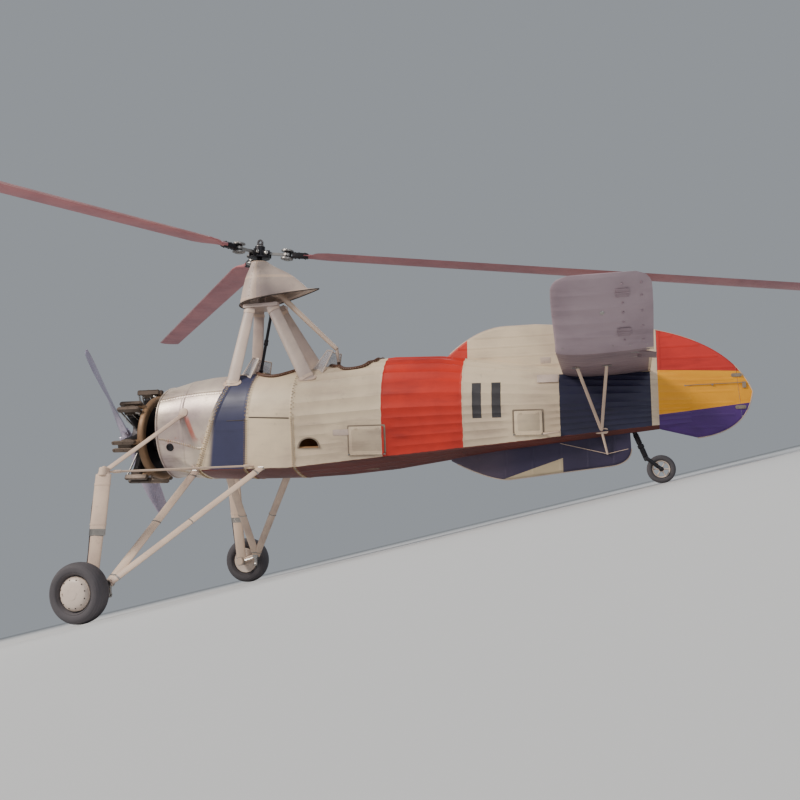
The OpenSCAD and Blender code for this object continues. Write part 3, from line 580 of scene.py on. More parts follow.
# Painted shade: the lower fin is coloured as it looks in shadow, mauve at the front turning navy aft.
def keel_shade_paint(m, wear, spots):
    front = m.blend(wear, rgb(92, 76, 94), rgb(62, 50, 68))
    shade_navy = m.blend(wear, rgb(52, 42, 74), rgb(32, 26, 52))
    colour = m.blend(m.x.ease(-3.60, -4.05), front, shade_navy)
    # the fin's own cream shows only in a wedge low at the front: a painted pool of light
    lit_wedge = (m.x > -4.36) * (m.z + (m.x + 3.85) * 0.337 < -0.465)
    return m.blend(lit_wedge, colour, m.blend(wear, rgb(196, 178, 144), rgb(150, 132, 112)))


def plane_paint(m, wear, spots):
    top = m.blend(wear, CREAM, CREAM_SHADE)
    tip = m.blend(wear, rgb(168, 148, 156), rgb(128, 108, 118))
    # painted shade: below its middle plane the tailplane is a darker mauve than its cream top
    under = m.blend(wear, rgb(146, 124, 128), rgb(102, 84, 92))
    top = m.blend(m.z - m.y.size() * 0.01 < 0.440, top, under)
    return m.blend(m.y.size() > 1.27, m.blend(spots.ease(0.55, 0.8) * 0.5, top, rgb(132, 112, 112)), tip)


def cowl_finish():
    m = Finish("cowl_paint")
    broad, fine, spots = m.noise(1.9, 5), m.noise(90, 4), m.noise(9, 6, 0.7)
    smoke = m.noise(3.5, 5, 0.6, (0.3, 1.0, 1.6)).ease(0.48, 0.72)
    colour = m.blend(broad.ease(0.35, 0.7), rgb(222, 206, 188), rgb(176, 158, 156))
    colour = m.blend(smoke * m.x.ease(-1.05, -0.6) * 0.75, colour, rgb(96, 74, 66))
    rust = spots.ease(0.52, 0.7) * (m.z + 0.06).size().ease(0.09, 0.02) * m.x.ease(-1.15, -0.85)
    colour = m.blend(rust, colour, rgb(176, 76, 36))
    streak = (m.x + 0.87 - (m.z - 0.2) * 0.36).size().ease(0.034, 0.012) * m.z.ease(0.20,
        0.12) * m.z.ease(-0.12, 0.02) * (m.y > 0)
    colour = m.blend(streak * (fine * 0.4 + 0.45), colour, rgb(196, 70, 44))
    colour = m.blend(spots.ease(0.60, 0.78) * 0.5, colour, rgb(90, 80, 80))
    dents = m.noise(6, 2)
    return m.surface(colour, fine * 0.2 + spots * 0.15 + 0.22, m.relief(fine, 0.0002, m.relief(dents, 0.003)),
        0.35)


FABRIC = cloth("hull_cloth", hull_paint)
FIN = cloth("fin_cloth", fin_paint)
KEEL = cloth("keel_cloth", keel_shade_paint)
PLANE = cloth("tailplane_cloth", plane_paint)
COWL = cowl_finish()
STRUT = worn("strut_paint", (220, 194, 172), (148, 126, 124), 0.48, grain=80, chips=(120, 110, 104))
PYLON = worn("pylon_paint", (202, 182, 168), (124, 106, 114), 0.45, grain=70, chips=(110, 100, 96))
TIP_FITTING = worn("tip_fitting_paint", (150, 130, 138), (92, 76, 88), 0.5)
SHADOW_PAINT = worn("inner_paint", (150, 134, 118), (90, 80, 70), 0.7)
BLADE = worn("blade_paint", (178, 112, 116), (138, 82, 92), 0.42, grain=50, grime=0.6, chips=(205, 170, 168))
BLADE_EDGE = worn("blade_edge_metal", (214, 176, 176), (160, 120, 124), 0.35, 0.3)
DARK = worn("dark_steel_oiled", (52, 50, 54), (24, 23, 26), 0.42, 0.75, chips=(130, 126, 120))
STEEL = worn("bright_steel_brushed", (176, 172, 168), (104, 100, 98), 0.34, 0.9, grain=140)
BRASS = worn("brass_tarnished", (176, 142, 82), (96, 76, 44), 0.4, 0.85)
JUG = worn("jug_black", (72, 68, 70), (34, 30, 32), 0.5, 0.55, grain=120, chips=(160, 130, 90))
HEAD = worn("head_alloy_heated", (104, 90, 80), (54, 46, 42), 0.5, 0.5)
CASE = worn("crankcase_alloy", (108, 102, 104), (52, 48, 50), 0.42, 0.7)
EXHAUST = worn("exhaust_heat_browned", (140, 110, 82), (78, 58, 46), 0.58, 0.4, grain=40, chips=(170, 132, 96))
PROP = worn("prop_alloy", (196, 186, 204), (140, 128, 150), 0.30, 0.75, grain=130)
RUBBER = worn("tyre_rubber", (84, 80, 84), (50, 47, 50), 0.82, grain=160, depth=0.0006)
HUB = worn("wheel_cream", (222, 204, 190), (160, 142, 134), 0.42, grain=90, chips=(110, 96, 86))
LEATHER = worn("leather_brown", (96, 58, 36), (52, 30, 20), 0.55, grain=260, depth=0.0010, grime=0.8)
PANEL = worn("panel_black", (34, 33, 34), (18, 17, 18), 0.6, grain=300, depth=0.0006)
WOOD = worn("spruce_frames", (176, 132, 82), (112, 76, 44), 0.6, grain=30)
TAPE = worn("seam_tape", (206, 190, 170), (132, 116, 104), 0.62, grain=200, depth=0.0004, grime=0.9)
BEAD = worn("beading_dark", (84, 72, 66), (48, 40, 38), 0.6)
MARK = worn("mark_black", (44, 42, 46), (84, 80, 82), 0.55, grime=0.8)


def glass_finish():
    m = Finish("screen_sheet")
    scratch, dust = m.noise(220, 3, 0.6, (1.0, 1.0, 0.2)), m.noise(6, 4)
    alpha = dust.ease(0.45, 0.8) * 0.25 + scratch.ease(0.6, 0.8) * 0.15 + 0.28
    m.surface(m.blend(dust, rgb(226, 222, 224), rgb(190, 182, 186)), scratch * 0.15 + 0.08, IOR=1.49,
        Coat_Weight=0.5)
    m.put(m.shader.inputs["Alpha"], alpha)
    return m


GLASS = glass_finish()

# ---- fuselage

KS = [part + i / (4 * CELLS[part]) for part in range(3) for i in range(4 * CELLS[part])] + [3.0]


def full_ring(point):
    """Ring from the crown down the port side and up the starboard side; point(k) gives the port one."""
    port = [point(k) for k in KS]
    return port + [mirrored(p, -1) for p in reversed(port[1:-1])]


def shell(start, end, count, wall):
    """Hollow skin between two edges, each a function of k."""
    outer = [full_ring(lambda k, t=i / count: skin(mix(start(k), end(k), t), k)) for i in range(count + 1)]
    inner = [full_ring(lambda k, t=i / count: lifted(mix(start(k), end(k), t), k, -wall))
        for i in range(count + 1)]
    return Shape().loft(outer + inner[::-1] + outer[:1], False)


def stacked(*layers):
    """Rings from flat outlines, each with its height."""
    return [[(x, y, z) for x, y in outline] for outline, z in layers]


def cockpit_outline(x, length, width, grow=0.0):
    """Opening seen from above: blunt in front, round behind."""
    dots = []
    for cx, r in ((x + length / 2 - width * 0.3, width * 0.3), (x + width * 0.5 - length / 2, width * 0.5)):
        dots += [(cx + (r + grow) * cos(a), (r + grow) * sin(a)) for a in angles(64)]
    dots = sorted(set((round(a, 6), round(b, 6)) for a, b in dots))
    hull = []
    for run in (dots, dots[::-1]):
        part = []
        for p in run:
            while len(part) > 1 and ((part[-1][0] - part[-2][0])
                    * (p[1] - part[-2][1]) - (part[-1][1] - part[-2][1]) * (p[0] - part[-2][0])) <= 0:
                part.pop()
            part.append(p)
        hull += part[:-1]
    return hull


def pit_tool(*pit):
    """What is cut away for a cockpit."""
    outline = cockpit_outline(*pit)
    return Shape().loft(stacked((outline, 0.15), (outline, 0.95)))


FRONT_PIT = (-1.720, 0.440, 0.460)
REAR_PIT = (-2.475, 0.500, 0.460)
LOCKER, LOCKER_SIZE = (-2.660, -0.105), (0.320, 0.250)
HATCH, HATCH_SIZE = (-4.090, 0.015), (0.240, 0.205)
STEP = (-2.115, -0.130)
DOOR_LIFT, KNUCKLE, KNUCKLES = 0.004, 0.007, 5  # the hinge pin stands KNUCKLE out from the door
METAL_WALL, CLOTH_WALL = 0.004, 0.012
TAPE_LIFT, LACE_GAP, LACE_R = 0.0022, 0.012, 0.0028
FIREWALL_X = -0.772
FLAT_SPOTS = ((LOCKER, LOCKER_SIZE), (HATCH, HATCH_SIZE), ((-4.264, 0.395), (0.185, 0.085)),
    ((-2.425, -0.030), (0.15, 0.055)))

seam_1 = lambda k: slanted(SEAM_1, k)
piece(shell(lambda k: COWL_X, seam_1, 26, METAL_WALL), "cowl_skin", COWL, smooth=50)
firewall = Shape().lathe([(0.20, 0), (0.35, 0), (0.35, 0.012), (0.20, 0.012)],
    frame_along((FIREWALL_X, 0, 0.02), (-0.7, 0, 0.02), (0, 0, 1)), 64, False)
firewall.loft([full_ring(lambda k, x=x: lifted(x, k, -0.006)) for x in (-0.765, -0.780)])
piece(firewall, "firewall", DARK)
front_cuts = [pit_tool(*FRONT_PIT)]
rear_cuts = [pit_tool(*REAR_PIT)]
for spot, (w, h) in ((LOCKER, LOCKER_SIZE), (HATCH, HATCH_SIZE)):
    rear_cuts.append(Shape().plate(w - 0.032, h - 0.032, 0.16, side_frame(*spot, lift=-0.08), 0.008, 0.0005))
arch = [(0.095 * cos(a), -0.04 + 0.095 * max(0.05, sin(a)) ** 0.8) for a in sweep(0, pi, 24)]
rear_cuts.append(Shape().loft(stacked((arch, -0.08), (arch, 0.08)), place=side_frame(*STEP)))
piece(shell(seam_1, lambda k: SEAM_3, 18, CLOTH_WALL), "front_cloth", FABRIC, smooth=50,
    cutters=front_cuts)
piece(shell(lambda k: SEAM_3, lambda k: STERN_X, 96, CLOTH_WALL), "rear_cloth", FABRIC,
    smooth=16, cutters=rear_cuts)

# frames, stringers and floor that show inside
inside = Shape()
FRAMES_AT, STRINGERS_AT = (-1.372, -1.946, -2.846), (0.30, 0.08, -0.16)
for x in FRAMES_AT:
    inside.loft([full_ring(lambda k, x=x: lifted(x, k, -0.013)) for x in (x, x - 0.022)])
for z in STRINGERS_AT:
    for s in SIDES:
        inside.tube([mirrored(on_flank(x, z, -0.022), s) for x in sweep(-1.40, -2.83, 12)], 0.011, 8)
inside.plate(1.36, 0.40, 0.012, shift(-2.10, 0, -0.310), 0.02, 0.002)
piece(inside, "inner_frames", WOOD)

# tapes, laced seams and screws
tapes, laces, screws = Shape(), Shape(), Shape()


def ring_strip(shape, line, width, lift):
    """A tape right round the skin on a line, an x for each k."""
    shape.loft([full_ring(lambda k, d=d, h=h: lifted(line(k) + d, k, h))
        for d, h in ((-width / 2, 0.0002), (-width / 2 + 0.003, lift), (width / 2 - 0.003, lift),
        (width / 2, 0.0002))], False)


def lacing(line, gap, pitch):
    """A zigzag thread over a seam, with a hook at each turn."""
    for side in SIDES:
        path = []
        for i in range(int(1.9 / pitch)):
            k = 0.04 + i * pitch * 1.5
            if k < 2.96:
                path.append(mirrored(lifted(line(k) + (gap if i % 2 else -gap), k, 0.0045), side))
        laces.tube(path, LACE_R, 6)
        for p, q in zip(path, path[1:]):
            screws.stud(p, (p - Vector((p.x, 0, 0.1))).normalized(), 0.0048, 0.003, 6)


seam_2 = lambda k: slanted(SEAM_2, k)
seam_3 = lambda k: SEAM_3 + 0.004
ring_strip(tapes, seam_1, 0.075, TAPE_LIFT)
ring_strip(tapes, seam_2, 0.060, TAPE_LIFT)
ring_strip(tapes, seam_3, 0.060, TAPE_LIFT)
for x in (-2.80, -3.52):
    ring_strip(tapes, lambda k, x=x: x, 0.030, 0.0012)
for line, gap in ((seam_1, LACE_GAP + 0.001), (seam_2, LACE_GAP), (seam_3, LACE_GAP)):
    lacing(line, gap, 0.015)
piece(tapes, "seam_tapes", FABRIC, smooth=60)
piece(laces, "seam_laces", TAPE, smooth=60)

bead = Shape()
for s in SIDES:
    bead.tube([mirrored(on_flank(mix(-1.535, -1.935, t), mix(0.135, 0.115, t), 0.003), s)
        for t in sweep(0, 1, 14)], 0.0065, 8, flat=0.6)
    bead.tube([mirrored(on_flank(x, 0.11, 0.0015), s) for x in sweep(-1.30, -1.52, 8)], 0.004, 8, flat=0.6)
piece(bead, "side_beading", BEAD)

# cowl: lap joints, a strap, a rolled edge, dark ports and strut sockets
STRAP_X = -0.83
laps = Shape()
for s in SIDES:
    for k, w in ((0.62, 0.030), (1.55, 0.026), (2.45, 0.026)):
        line = sweep(COWL_X - 0.012, seam_1(k) + 0.03, 24)
        rows = [[mirrored(lifted(x, k + d, h), s) for x in line]
            for d, h in ((-w, 0.0003), (-w + 0.006, 0.0030), (w - 0.006, 0.0030), (w, 0.0003))]
        laps.loft(rows, False, False)
        for x in line[1:]:
            for d in (-w * 0.55, w * 0.55):
                p = mirrored(lifted(x, k + d, 0.003), s)
                screws.stud(p, mirrored(outward(x, k), s), 0.0042, 0.0025, 6)
    for k in [i / 9 for i in range(1, 27)]:
        x = seam_1(k) + 0.030
        screws.stud(mirrored(lifted(x, k, 0.002), s), mirrored(outward(x, k), s), 0.0055, 0.003, 6)
laps.hoop([mirrored(lifted(COWL_X - 0.006, k, 0.002), 1) for k in KS]
    + [mirrored(lifted(COWL_X - 0.006, k, 0.002), -1) for k in reversed(KS[1:-1])], 0.009, 10)
ring_strip(laps, lambda k: STRAP_X, 0.040, 0.0026)
piece(laps, "cowl_straps", COWL, smooth=60)
ports, sockets = Shape(), Shape()
for s in SIDES:
    p = mirrored(on_flank(-0.70, -0.12, 0.0), s)
    n = mirrored(outward(-0.70, find_k(-0.70, lambda q: q.z > -0.12, 0, 2.6)), s)
    ports.lathe([(0.040, -0.004), (0.037, 0.006), (0.030, 0.010), (0.024, 0.010), (0.022, 0.003),
        (0.0, 0.002)], facing(p, n), 32, False)
    for x, z in ((-0.855, 0.206), (-0.954, -0.325)):
        q = mirrored(on_flank(x, z, 0.0), s)
        m = mirrored(outward(x, find_k(x, lambda r, z=z: r.z > z, 0, 2.9)), s)
        sockets.lathe([(0.044, -0.004), (0.042, 0.006), (0.024, 0.010), (0.0, 0.010)], facing(q, m), 28, False)
piece(ports, "cowl_ports", DARK)
piece(sockets, "strut_sockets", STRUT)
piece(screws, "skin_screws", BRASS, smooth=60)

# plates, door frames, doors and lifting handles
plates, frames = Shape(), Shape()
for s, spots in ((1, ((-2.425, -0.030, 0.15, 0.055), (-4.264, 0.395, 0.185, 0.085))),
        (-1, ((-4.264, 0.395, 0.185, 0.085), (-2.66, -0.10, 0.30, 0.23), (-4.09, 0.015, 0.20, 0.17)))):
    for x, z, w, h in spots:
        place = side_frame(x, z, 0.0005, s)
        plates.plate(w, h, 0.003, place, 0.008, 0.001)
        for i in (-1, 1):
            for j in (-1, 0, 1):
                c = place @ Vector((j * (w / 2 - 0.012), i * (h / 2 - 0.011), 0.003))
                plates.stud(c, swung(place, 0, 0, 1), 0.0045, 0.002, 6)
piece(plates, "screwed_plates", PYLON)
for (x, z), (w, h) in ((LOCKER, LOCKER_SIZE), (HATCH, HATCH_SIZE)):
    place = side_frame(x, z, 0.0)
    outer, inner = rounded(w + 0.030, h + 0.026, 0.012), rounded(w - 0.030, h - 0.030, 0.008)
    outer = [(a, max(b, -h / 2 + 0.012)) for a, b in outer]
    inner = [(a, max(b, -h / 2 + 0.016)) for a, b in inner]
    frames.loft(stacked((outer, -0.004), (outer, 0.0022), (inner, 0.0022), (inner, -0.014)), False, True, place)
rim_o = [(x * 1.16, -0.04 + (y + 0.04) * 1.16 - 0.004) for x, y in arch]
frames.loft(stacked((rim_o, -0.004), (rim_o, 0.003), (arch, 0.004), (arch, -0.020)), False, True,
    side_frame(*STEP))
piece(frames, "opening_frames", SHADOW_PAINT)
for (x, z), (w, h), body, name in ((LOCKER, LOCKER_SIZE, "locker_door", "locker_door_panel"),
        (HATCH, HATCH_SIZE, "inspection_door", "inspection_door_panel")):
    place = side_frame(x, z, DOOR_LIFT)
    door = Shape()
    door.plate(w, h - 0.004, 0.0036, place @ shift(0, 0.002, KNUCKLE - 0.0040), 0.012, 0.0008)
    door.plate(w - 0.05, h - 0.055, 0.0022, place @ shift(0, 0.004, KNUCKLE - 0.0008), 0.010, 0.0012)
    out = swung(place, 0, 0, 1)
    for i in range(KNUCKLES):
        a = -w / 2 + 0.010 + (w - 0.02) * i / KNUCKLES
        b = a + (w - 0.02) / KNUCKLES - 0.002
        door.lathe([(0.0040, 0), (0.0066, 0.0005), (0.0066, b - a - 0.0005), (0.0040, b - a)],
            frame_along(*placed(place, (a, -h / 2, KNUCKLE), (b, -h / 2, KNUCKLE)), out), 16, False)
    for i in sweep(-1, 1, 6):
        for j in (-0.8, 1):
            door.stud(place @ Vector((i * (w / 2 - 0.014), j * (h / 2 - 0.014), KNUCKLE - 0.0006)), out, 0.004,
                0.0022, 6)
    for i in (-0.6, 0.6):
        door.plate(0.030, 0.022, 0.004, place @ shift(i * w / 2, h / 2 - 0.020, KNUCKLE), 0.005, 0.001)
        door.stud(place @ Vector((i * w / 2, h / 2 - 0.020, KNUCKLE + 0.004)), out, 0.006, 0.003, 12)
    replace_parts(piece(door, name, FABRIC, body), body)
handle = Shape()
for s in SIDES:
    ends = [mirrored(on_flank(x, -0.085 - (x + 4.2) * 0.1, 0.0), s) for x in (-4.22, -4.35)]
    out = mirrored(outward(-4.35, 1.7), s)
    handle.tube([ends[0], ends[0] + out * 0.022, ends[0] + out * 0.030 + Vector((-0.012, 0, 0)),
        ends[1] + out * 0.030 + Vector((0.012, 0, 0)), ends[1] + out * 0.022, ends[1]], 0.009, 10)
    for e in ends:
        handle.lathe([(0.012, -0.002), (0.012, 0.003), (0.008, 0.004)], facing(e, out), 20)
piece(handle, "lifting_handles", STRUT)

# generic two-bar marks on both flanks
marks = Shape()
BARS, BAR_ENDS = ((-3.61, -3.69), (-3.78, -3.86)), (0.375, 0.065)
for s in SIDES:
    for x0, x1 in BARS:
        rows = [[mirrored(on_flank(x, z, h), s) for z in sweep(*BAR_ENDS, 90)]
            for x, h in ((x0, 0.0008), (mix(x0, x1, 0.5), 0.0012), (x1, 0.0008))]
        marks.loft(rows, False, False)
piece(marks, "side_bars", MARK, smooth=60)

# cockpits: padded edges, screens, boards, seats
COAMING_R = 0.017
BROW_AHEAD, BROW_BLEND = 0.026, 0.09  # the front edge lies ahead of the opening, clear of the hanging column
for (x, length, width), name in ((FRONT_PIT, "front"), (REAR_PIT, "rear")):
    brow = x + length / 2 - 0.13
    path = [on_crown(a + BROW_AHEAD * min(1, max(0, (a - brow) / BROW_BLEND)), b, 0.008)
        for a, b in cockpit_outline(x, length, width, -0.004)]
    even = []
    for i, p in enumerate(path):
        if not even or (p - even[-1]).length > 0.014:
            even.append(p)
    piece(Shape().hoop(even, COAMING_R, 14), name + "_coaming", LEATHER, smooth=60)
    stitches = Shape()
    for i in range(len(even)):
        p, q = even[i], even[(i + 1) % len(even)]
        out = ((p + q) / 2 - Vector((x, 0, p.z))).normalized()
        a = (p + q) / 2 + out * 0.015 + Vector((0, 0, 0.003))
        stitches.tube([a - out * 0.004, a + out * 0.012 - Vector((0, 0, 0.006))], 0.0018, 5)
    piece(stitches, name + "_coaming_stitches", TAPE, smooth=60)


SCREEN_LEAN, PANE_HALF = -12, 0.0015


def screen(x, z, r0, r1, h, name, node):
    """Three flat panes in a metal frame, on the line of the front half of a leaning cone."""
    place = shift(x, 0, z - 0.12) @ tilt(SCREEN_LEAN, "Y")
    total = h + 0.12
    point = lambda a, t: place @ Vector((mix(r0, r1, t) * cos(a), mix(r0, r1, t) * sin(a), total * t))

    def foot(a):
        low, high = 0.0, 1.0
        for _ in range(20):
            t = (low + high) / 2
            p = point(a, t)
            w = measure(p.x, 1)
            low, high = (t, high) if abs(p.y) < w * 0.98 and p.z < on_crown(p.x, p.y).z else (low, t)
        return (low + high) / 2

    turns = [radians(a) for a in (-78, -30, 30, 78)]
    glass, rails = Shape(), Shape()
    for a, b in zip(turns, turns[1:]):
        grid = []
        for i in range(9):
            f = i / 8
            low = point(a, foot(a)).lerp(point(b, foot(b)), f)
            deck = on_crown(low.x, low.y, 0.002)
            low.z = deck.z if abs(low.y) < 0.36 else low.z
            high = point(a, 1).lerp(point(b, 1), f)
            grid.append((low, high))
        out = Vector((cos((a + b) / 2), sin((a + b) / 2), 0.2)).normalized() * PANE_HALF
        glass.loft([[lo + out, hi + out, hi - out, lo - out] for lo, hi in grid])
        rails.tube([g[0] + Vector((0, 0, 0.004)) for g in grid], 0.007, 8)
        rails.tube([g[1] for g in grid], 0.0055, 8)
    for a in turns:
        rails.tube([point(a, foot(a)), point(a, 1)], 0.0065, 8)
        for t in (0.25, 0.5, 0.75):
            rails.stud(point(a, mix(foot(a), 1, t)), (cos(a), sin(a), 0.2), 0.008, 0.004, 8)
    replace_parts(piece(glass, name + "_panes", GLASS), node)
    piece(rails, name + "_frame", HUB)


screen(-1.490, 0.560, 0.250, 0.150, 0.160, "front_screen", "front_windscreen")
screen(-2.230, 0.600, 0.250, 0.120, 0.160, "rear_screen", "rear_windscreen")

for x, name in ((-1.440, "front"), (-2.170, "rear")):
    board, dials = Shape(), Shape()
    edge = [lifted(x, k, -0.016) for k in KS if lifted(x, k, -0.016).z > 0.335]
    ring = [(p.y, p.z) for p in edge] + [(edge[-1].y, 0.333), (-edge[-1].y, 0.333)] + [(-p.y, p.z)
        for p in reversed(edge[1:])]
    board.loft([[(x - d, y, z) for y, z in ring] for d in (0, 0.014)])
    for y, z, r in ((-0.19, 0.42, 0.045), (-0.075, 0.43, 0.052), (0.05, 0.43, 0.052), (0.165, 0.42, 0.042),
            (-0.13, 0.515, 0.026), (0.0, 0.525, 0.03), (0.12, 0.515, 0.026)):
        place = frame_along((x - 0.014, y, z), (x - 0.1, y, z), (0, 0, 1))
        dials.lathe([(r, -0.001), (r, 0.009), (r * 0.92, 0.012), (r * 0.84, 0.011), (r * 0.82, 0.005),
            (0.004, 0.005), (0.003, 0.007)], place, 32)
        dials.plate(r * 1.2, 0.004, 0.002, place @ Matrix.Rotation(y * 9 + 0.6, 4, "Z") @ shift(r * 0.1, 0,
            0.006), 0.001, 0.0003)
        for q in sweep(0.6, 5.7, 9):
            c = place @ Vector((r * 0.70 * cos(q), r * 0.70 * sin(q), 0.0052))
            dials.stud(c, (-1, 0, 0), 0.0026, 0.001, 6)
    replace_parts(piece(board, name + "_board", PANEL), "instrument_panels")
    piece(dials, name + "_dials", BRASS)


def cushion(w, d, h, place, name):
    """Crowned pad with sides that pull in between its corners, sewn into three channels."""
    n = 28
    shape = Shape()
    for face in (1, -1):
        rows = []
        for i in range(n + 1):
            u = -1 + 2 * i / n
            row = []
            for j in range(n + 1):
                v = -1 + 2 * j / n
                pull = 1 - 0.035 * (cos(u * pi / 2) + cos(v * pi / 2)) * max(abs(u), abs(v)) ** 6
                crown = (1 - abs(u) ** 4) ** 0.5 * (1 - abs(v) ** 4) ** 0.5
                seam = 0.24 * exp(-((abs(v) - 0.34) / 0.05) ** 2) * (face > 0)
                z = face * h * (0.5 if face > 0 else 0.28) * crown * (1 - seam)
                row.append((u * w / 2 * pull, v * d / 2 * pull, z + h * 0.3))
            rows.append(row)
        shape.loft(rows, False, False, place)
    obj = piece(shape, name, LEATHER, smooth=70)
    bm = bmesh.new()
    bm.from_mesh(obj.data)
    bmesh.ops.remove_doubles(bm, verts=bm.verts, dist=0.0004)
    bmesh.ops.recalc_face_normals(bm, faces=bm.faces)
    bm.to_mesh(obj.data)
    bm.free()
    return obj


SEAT_LEAN = 8
SEATS = ((-1.940, 0.060, 0.440, "front"), (-2.810, 0.080, 0.495, "rear"))
bucket = Shape()
for x, z, length, name in SEATS:
    lean = radians(SEAT_LEAN)
    foot = x + 0.470 * sin(lean)
    pan_l = x + length - foot
    back = shift(foot, 0, z - 0.106) @ Matrix.Rotation(-lean, 4, "Y")
    bucket.plate(pan_l, 0.36, 0.010, shift(foot + pan_l / 2, 0, z - 0.120), 0.05, 0.003)
    for s in SIDES:
        bucket.plate(pan_l * 0.9, 0.06, 0.006,
            shift(foot + pan_l * 0.45, s * 0.176, z - 0.086) @ tilt(90, "X"), 0.02, 0.002)
    bucket.plate(0.45, 0.37, 0.008, back @ shift(0.002, 0, 0.235) @ tilt(90, "Y"), 0.09, 0.003)
    bucket.plate(0.30, 0.26, 0.24, shift(x + 0.255, 0, -0.362), 0.02, 0.004)
    cushion(pan_l - 0.05, 0.33, 0.055, shift(foot + pan_l / 2 + 0.012, 0, z - 0.100), name + "_seat_cushion")
    cushion(0.36, 0.32, 0.050, back @ shift(0.020, 0, 0.25) @ tilt(90, "Y"), name + "_back_cushion")
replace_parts(piece(bucket, "seat_buckets", SHADOW_PAINT), "seats")
belts = Shape()
for x, z, _, _ in SEATS:
    for s in SIDES:
        path = [(x + 0.10, s * 0.165, z - 0.05), (x + 0.13, s * 0.15, z - 0.015),
            (x + 0.22, s * 0.09, z - 0.052 + 0.012), (x + 0.30, s * 0.05, z - 0.045),
            (x + 0.34, s * 0.10, z - 0.044)]
        curve = [Vector(path[0])]
        for a, b in zip(path, path[1:]):
            curve += [Vector(a).lerp(Vector(b), t) for t in (0.25, 0.5, 0.75, 1)]
        belts.loft([[p + Vector((d, 0, h)) for d, h in ((-0.02, 0.010), (0.02, 0.010), (0.02, 0.0125),
            (-0.02, 0.0125))] for p in curve])
piece(belts, "lap_belts", TAPE, smooth=60)

# ---- engine and propeller

ENGINE_X, CYLINDERS = -0.250, 7
NOSEWARD = tilt(90, "Y")
core = Shape().lathe([(0.185, -0.52), (0.185, -0.22), (0.188, -0.10), (0.19, -0.09), (0.19, 0.075),
    (0.182, 0.088), (0.150, 0.094), (0.146, 0.104), (0.122, 0.112), (0.100, 0.140), (0.078, 0.158),
    (0.060, 0.162), (0.024, 0.163), (0.024, 0.240)], shift(ENGINE_X, 0, 0) @ NOSEWARD, 64)
for a in angles(14):
    core.stud((ENGINE_X + 0.092, 0.166 * sin(a), 0.166 * cos(a)), (1, 0, 0), 0.010, 0.008, 6)
    core.stud((ENGINE_X + 0.108, 0.134 * sin(a), 0.134 * cos(a)), (1, 0, 0), 0.007, 0.006, 6)
for s in SIDES:
    core.lathe([(0.030, 0), (0.030, 0.055), (0.024, 0.062), (0.010, 0.064)],
        frame_along((ENGINE_X + 0.08, s * 0.06, 0.10), (ENGINE_X + 0.2, s * 0.06, 0.10), (0, 0, 1)), 24)
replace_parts(piece(core, "crank_case", CASE), "crankcase")

jugs, heads, rods, pipes = Shape(), Shape(), Shape(), Shape()
for k in range(CYLINDERS):
    turn = shift(ENGINE_X, 0, 0) @ Matrix.Rotation(-2 * pi * k / CYLINDERS, 4, "X")
    profile = [(0.056, 0.176), (0.078, 0.184), (0.078, 0.194), (0.054, 0.196)]
    for i in range(17):
        h = 0.204 + i * 0.0105
        profile += [(0.053, h), (0.0705, h + 0.0012), (0.0705, h + 0.0034), (0.053, h + 0.0046)]
    profile += [(0.055, 0.396), (0.060, 0.400)]
    jugs.lathe(profile, turn, 32)
    for i in range(7):
        h = 0.398 + i * 0.0088
        heads.plate(0.164 - 0.004 * i, 0.118 - 0.003 * i, 0.0034, turn @ shift(0, 0, h), 0.045, 0.0006)
    heads.plate(0.110, 0.080, 0.062, turn @ shift(0, 0, 0.398), 0.03, 0.004)
    for s in SIDES:
        box = turn @ shift(0, s * 0.036, 0.432)
        heads.plate(0.250, 0.033, 0.044, box, 0.015, 0.004)
        heads.plate(0.236, 0.038, 0.006, box @ shift(0, 0, 0.043), 0.017, 0.002)
        for x in (-0.10, 0.0, 0.10):
            heads.stud(box @ Vector((x, 0, 0.049)), swung(turn, 0, 0, 1), 0.007, 0.005, 6)
        rods.tube(placed(turn, (0.070, s * 0.020, 0.150), (0.108, s * 0.034, 0.440)), 0.0085, 10)
        rods.lathe([(0.013, 0), (0.013, 0.016), (0.009, 0.020)],
            frame_along(*placed(turn, (0.066, s * 0.019, 0.160), (0.108, s * 0.034, 0.440)), (0, 1, 0)), 12)
        rods.tube(placed(turn, (0.03 * s, 0.058, 0.41), (0.045 * s, 0.072, 0.40), (0.07 * s, 0.070, 0.33),
            (-0.02, 0.095, 0.22), (-0.06, 0.08, 0.17)), 0.0032, 6)
    pipes.tube(placed(turn, (-0.070, -0.030, 0.425), (-0.095, -0.030, 0.430), (-0.118, -0.030, 0.415),
        (-0.135, -0.030, 0.395), (-0.145, -0.030, 0.378)), 0.024, 16)
    rods.tube(placed(turn, (-0.060, 0.034, 0.415), (-0.085, 0.034, 0.405), (-0.098, 0.034, 0.370),
        (-0.100, 0.030, 0.28), (-0.098, 0.030, 0.185)), 0.017, 14)
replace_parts(piece(jugs, "finned_barrels", JUG, smooth=30), "cylinders")
piece(heads, "cylinder_heads", HEAD)
piece(rods, "push_rods_and_pipes", STEEL)
COLLECTOR, COLLECTOR_R = shift(-0.395, 0, 0) @ NOSEWARD, 0.377
ring_section = [(COLLECTOR_R + 0.0375 * boxy(cos(a), 0.7), 0.0375 * boxy(sin(a), 0.7)) for a in angles(24)]
pipes.band(ring_section, COLLECTOR, 96)
for a in angles(CYLINDERS, 0.5):
    seam = [(r + (0.0025 if abs(r - COLLECTOR_R) > 0.02 else 0), h * 1.07) for r, h in ring_section]
    for d in (-0.035, 0.035):
        rings = [[(r * cos(a + d + e), r * sin(a + d + e), h) for r, h in seam] for e in (-0.012, 0.012)]
        pipes.loft(rings, True, True, COLLECTOR)
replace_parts(piece(pipes, "exhaust_collector", EXHAUST, smooth=50), "exhaust_ring")
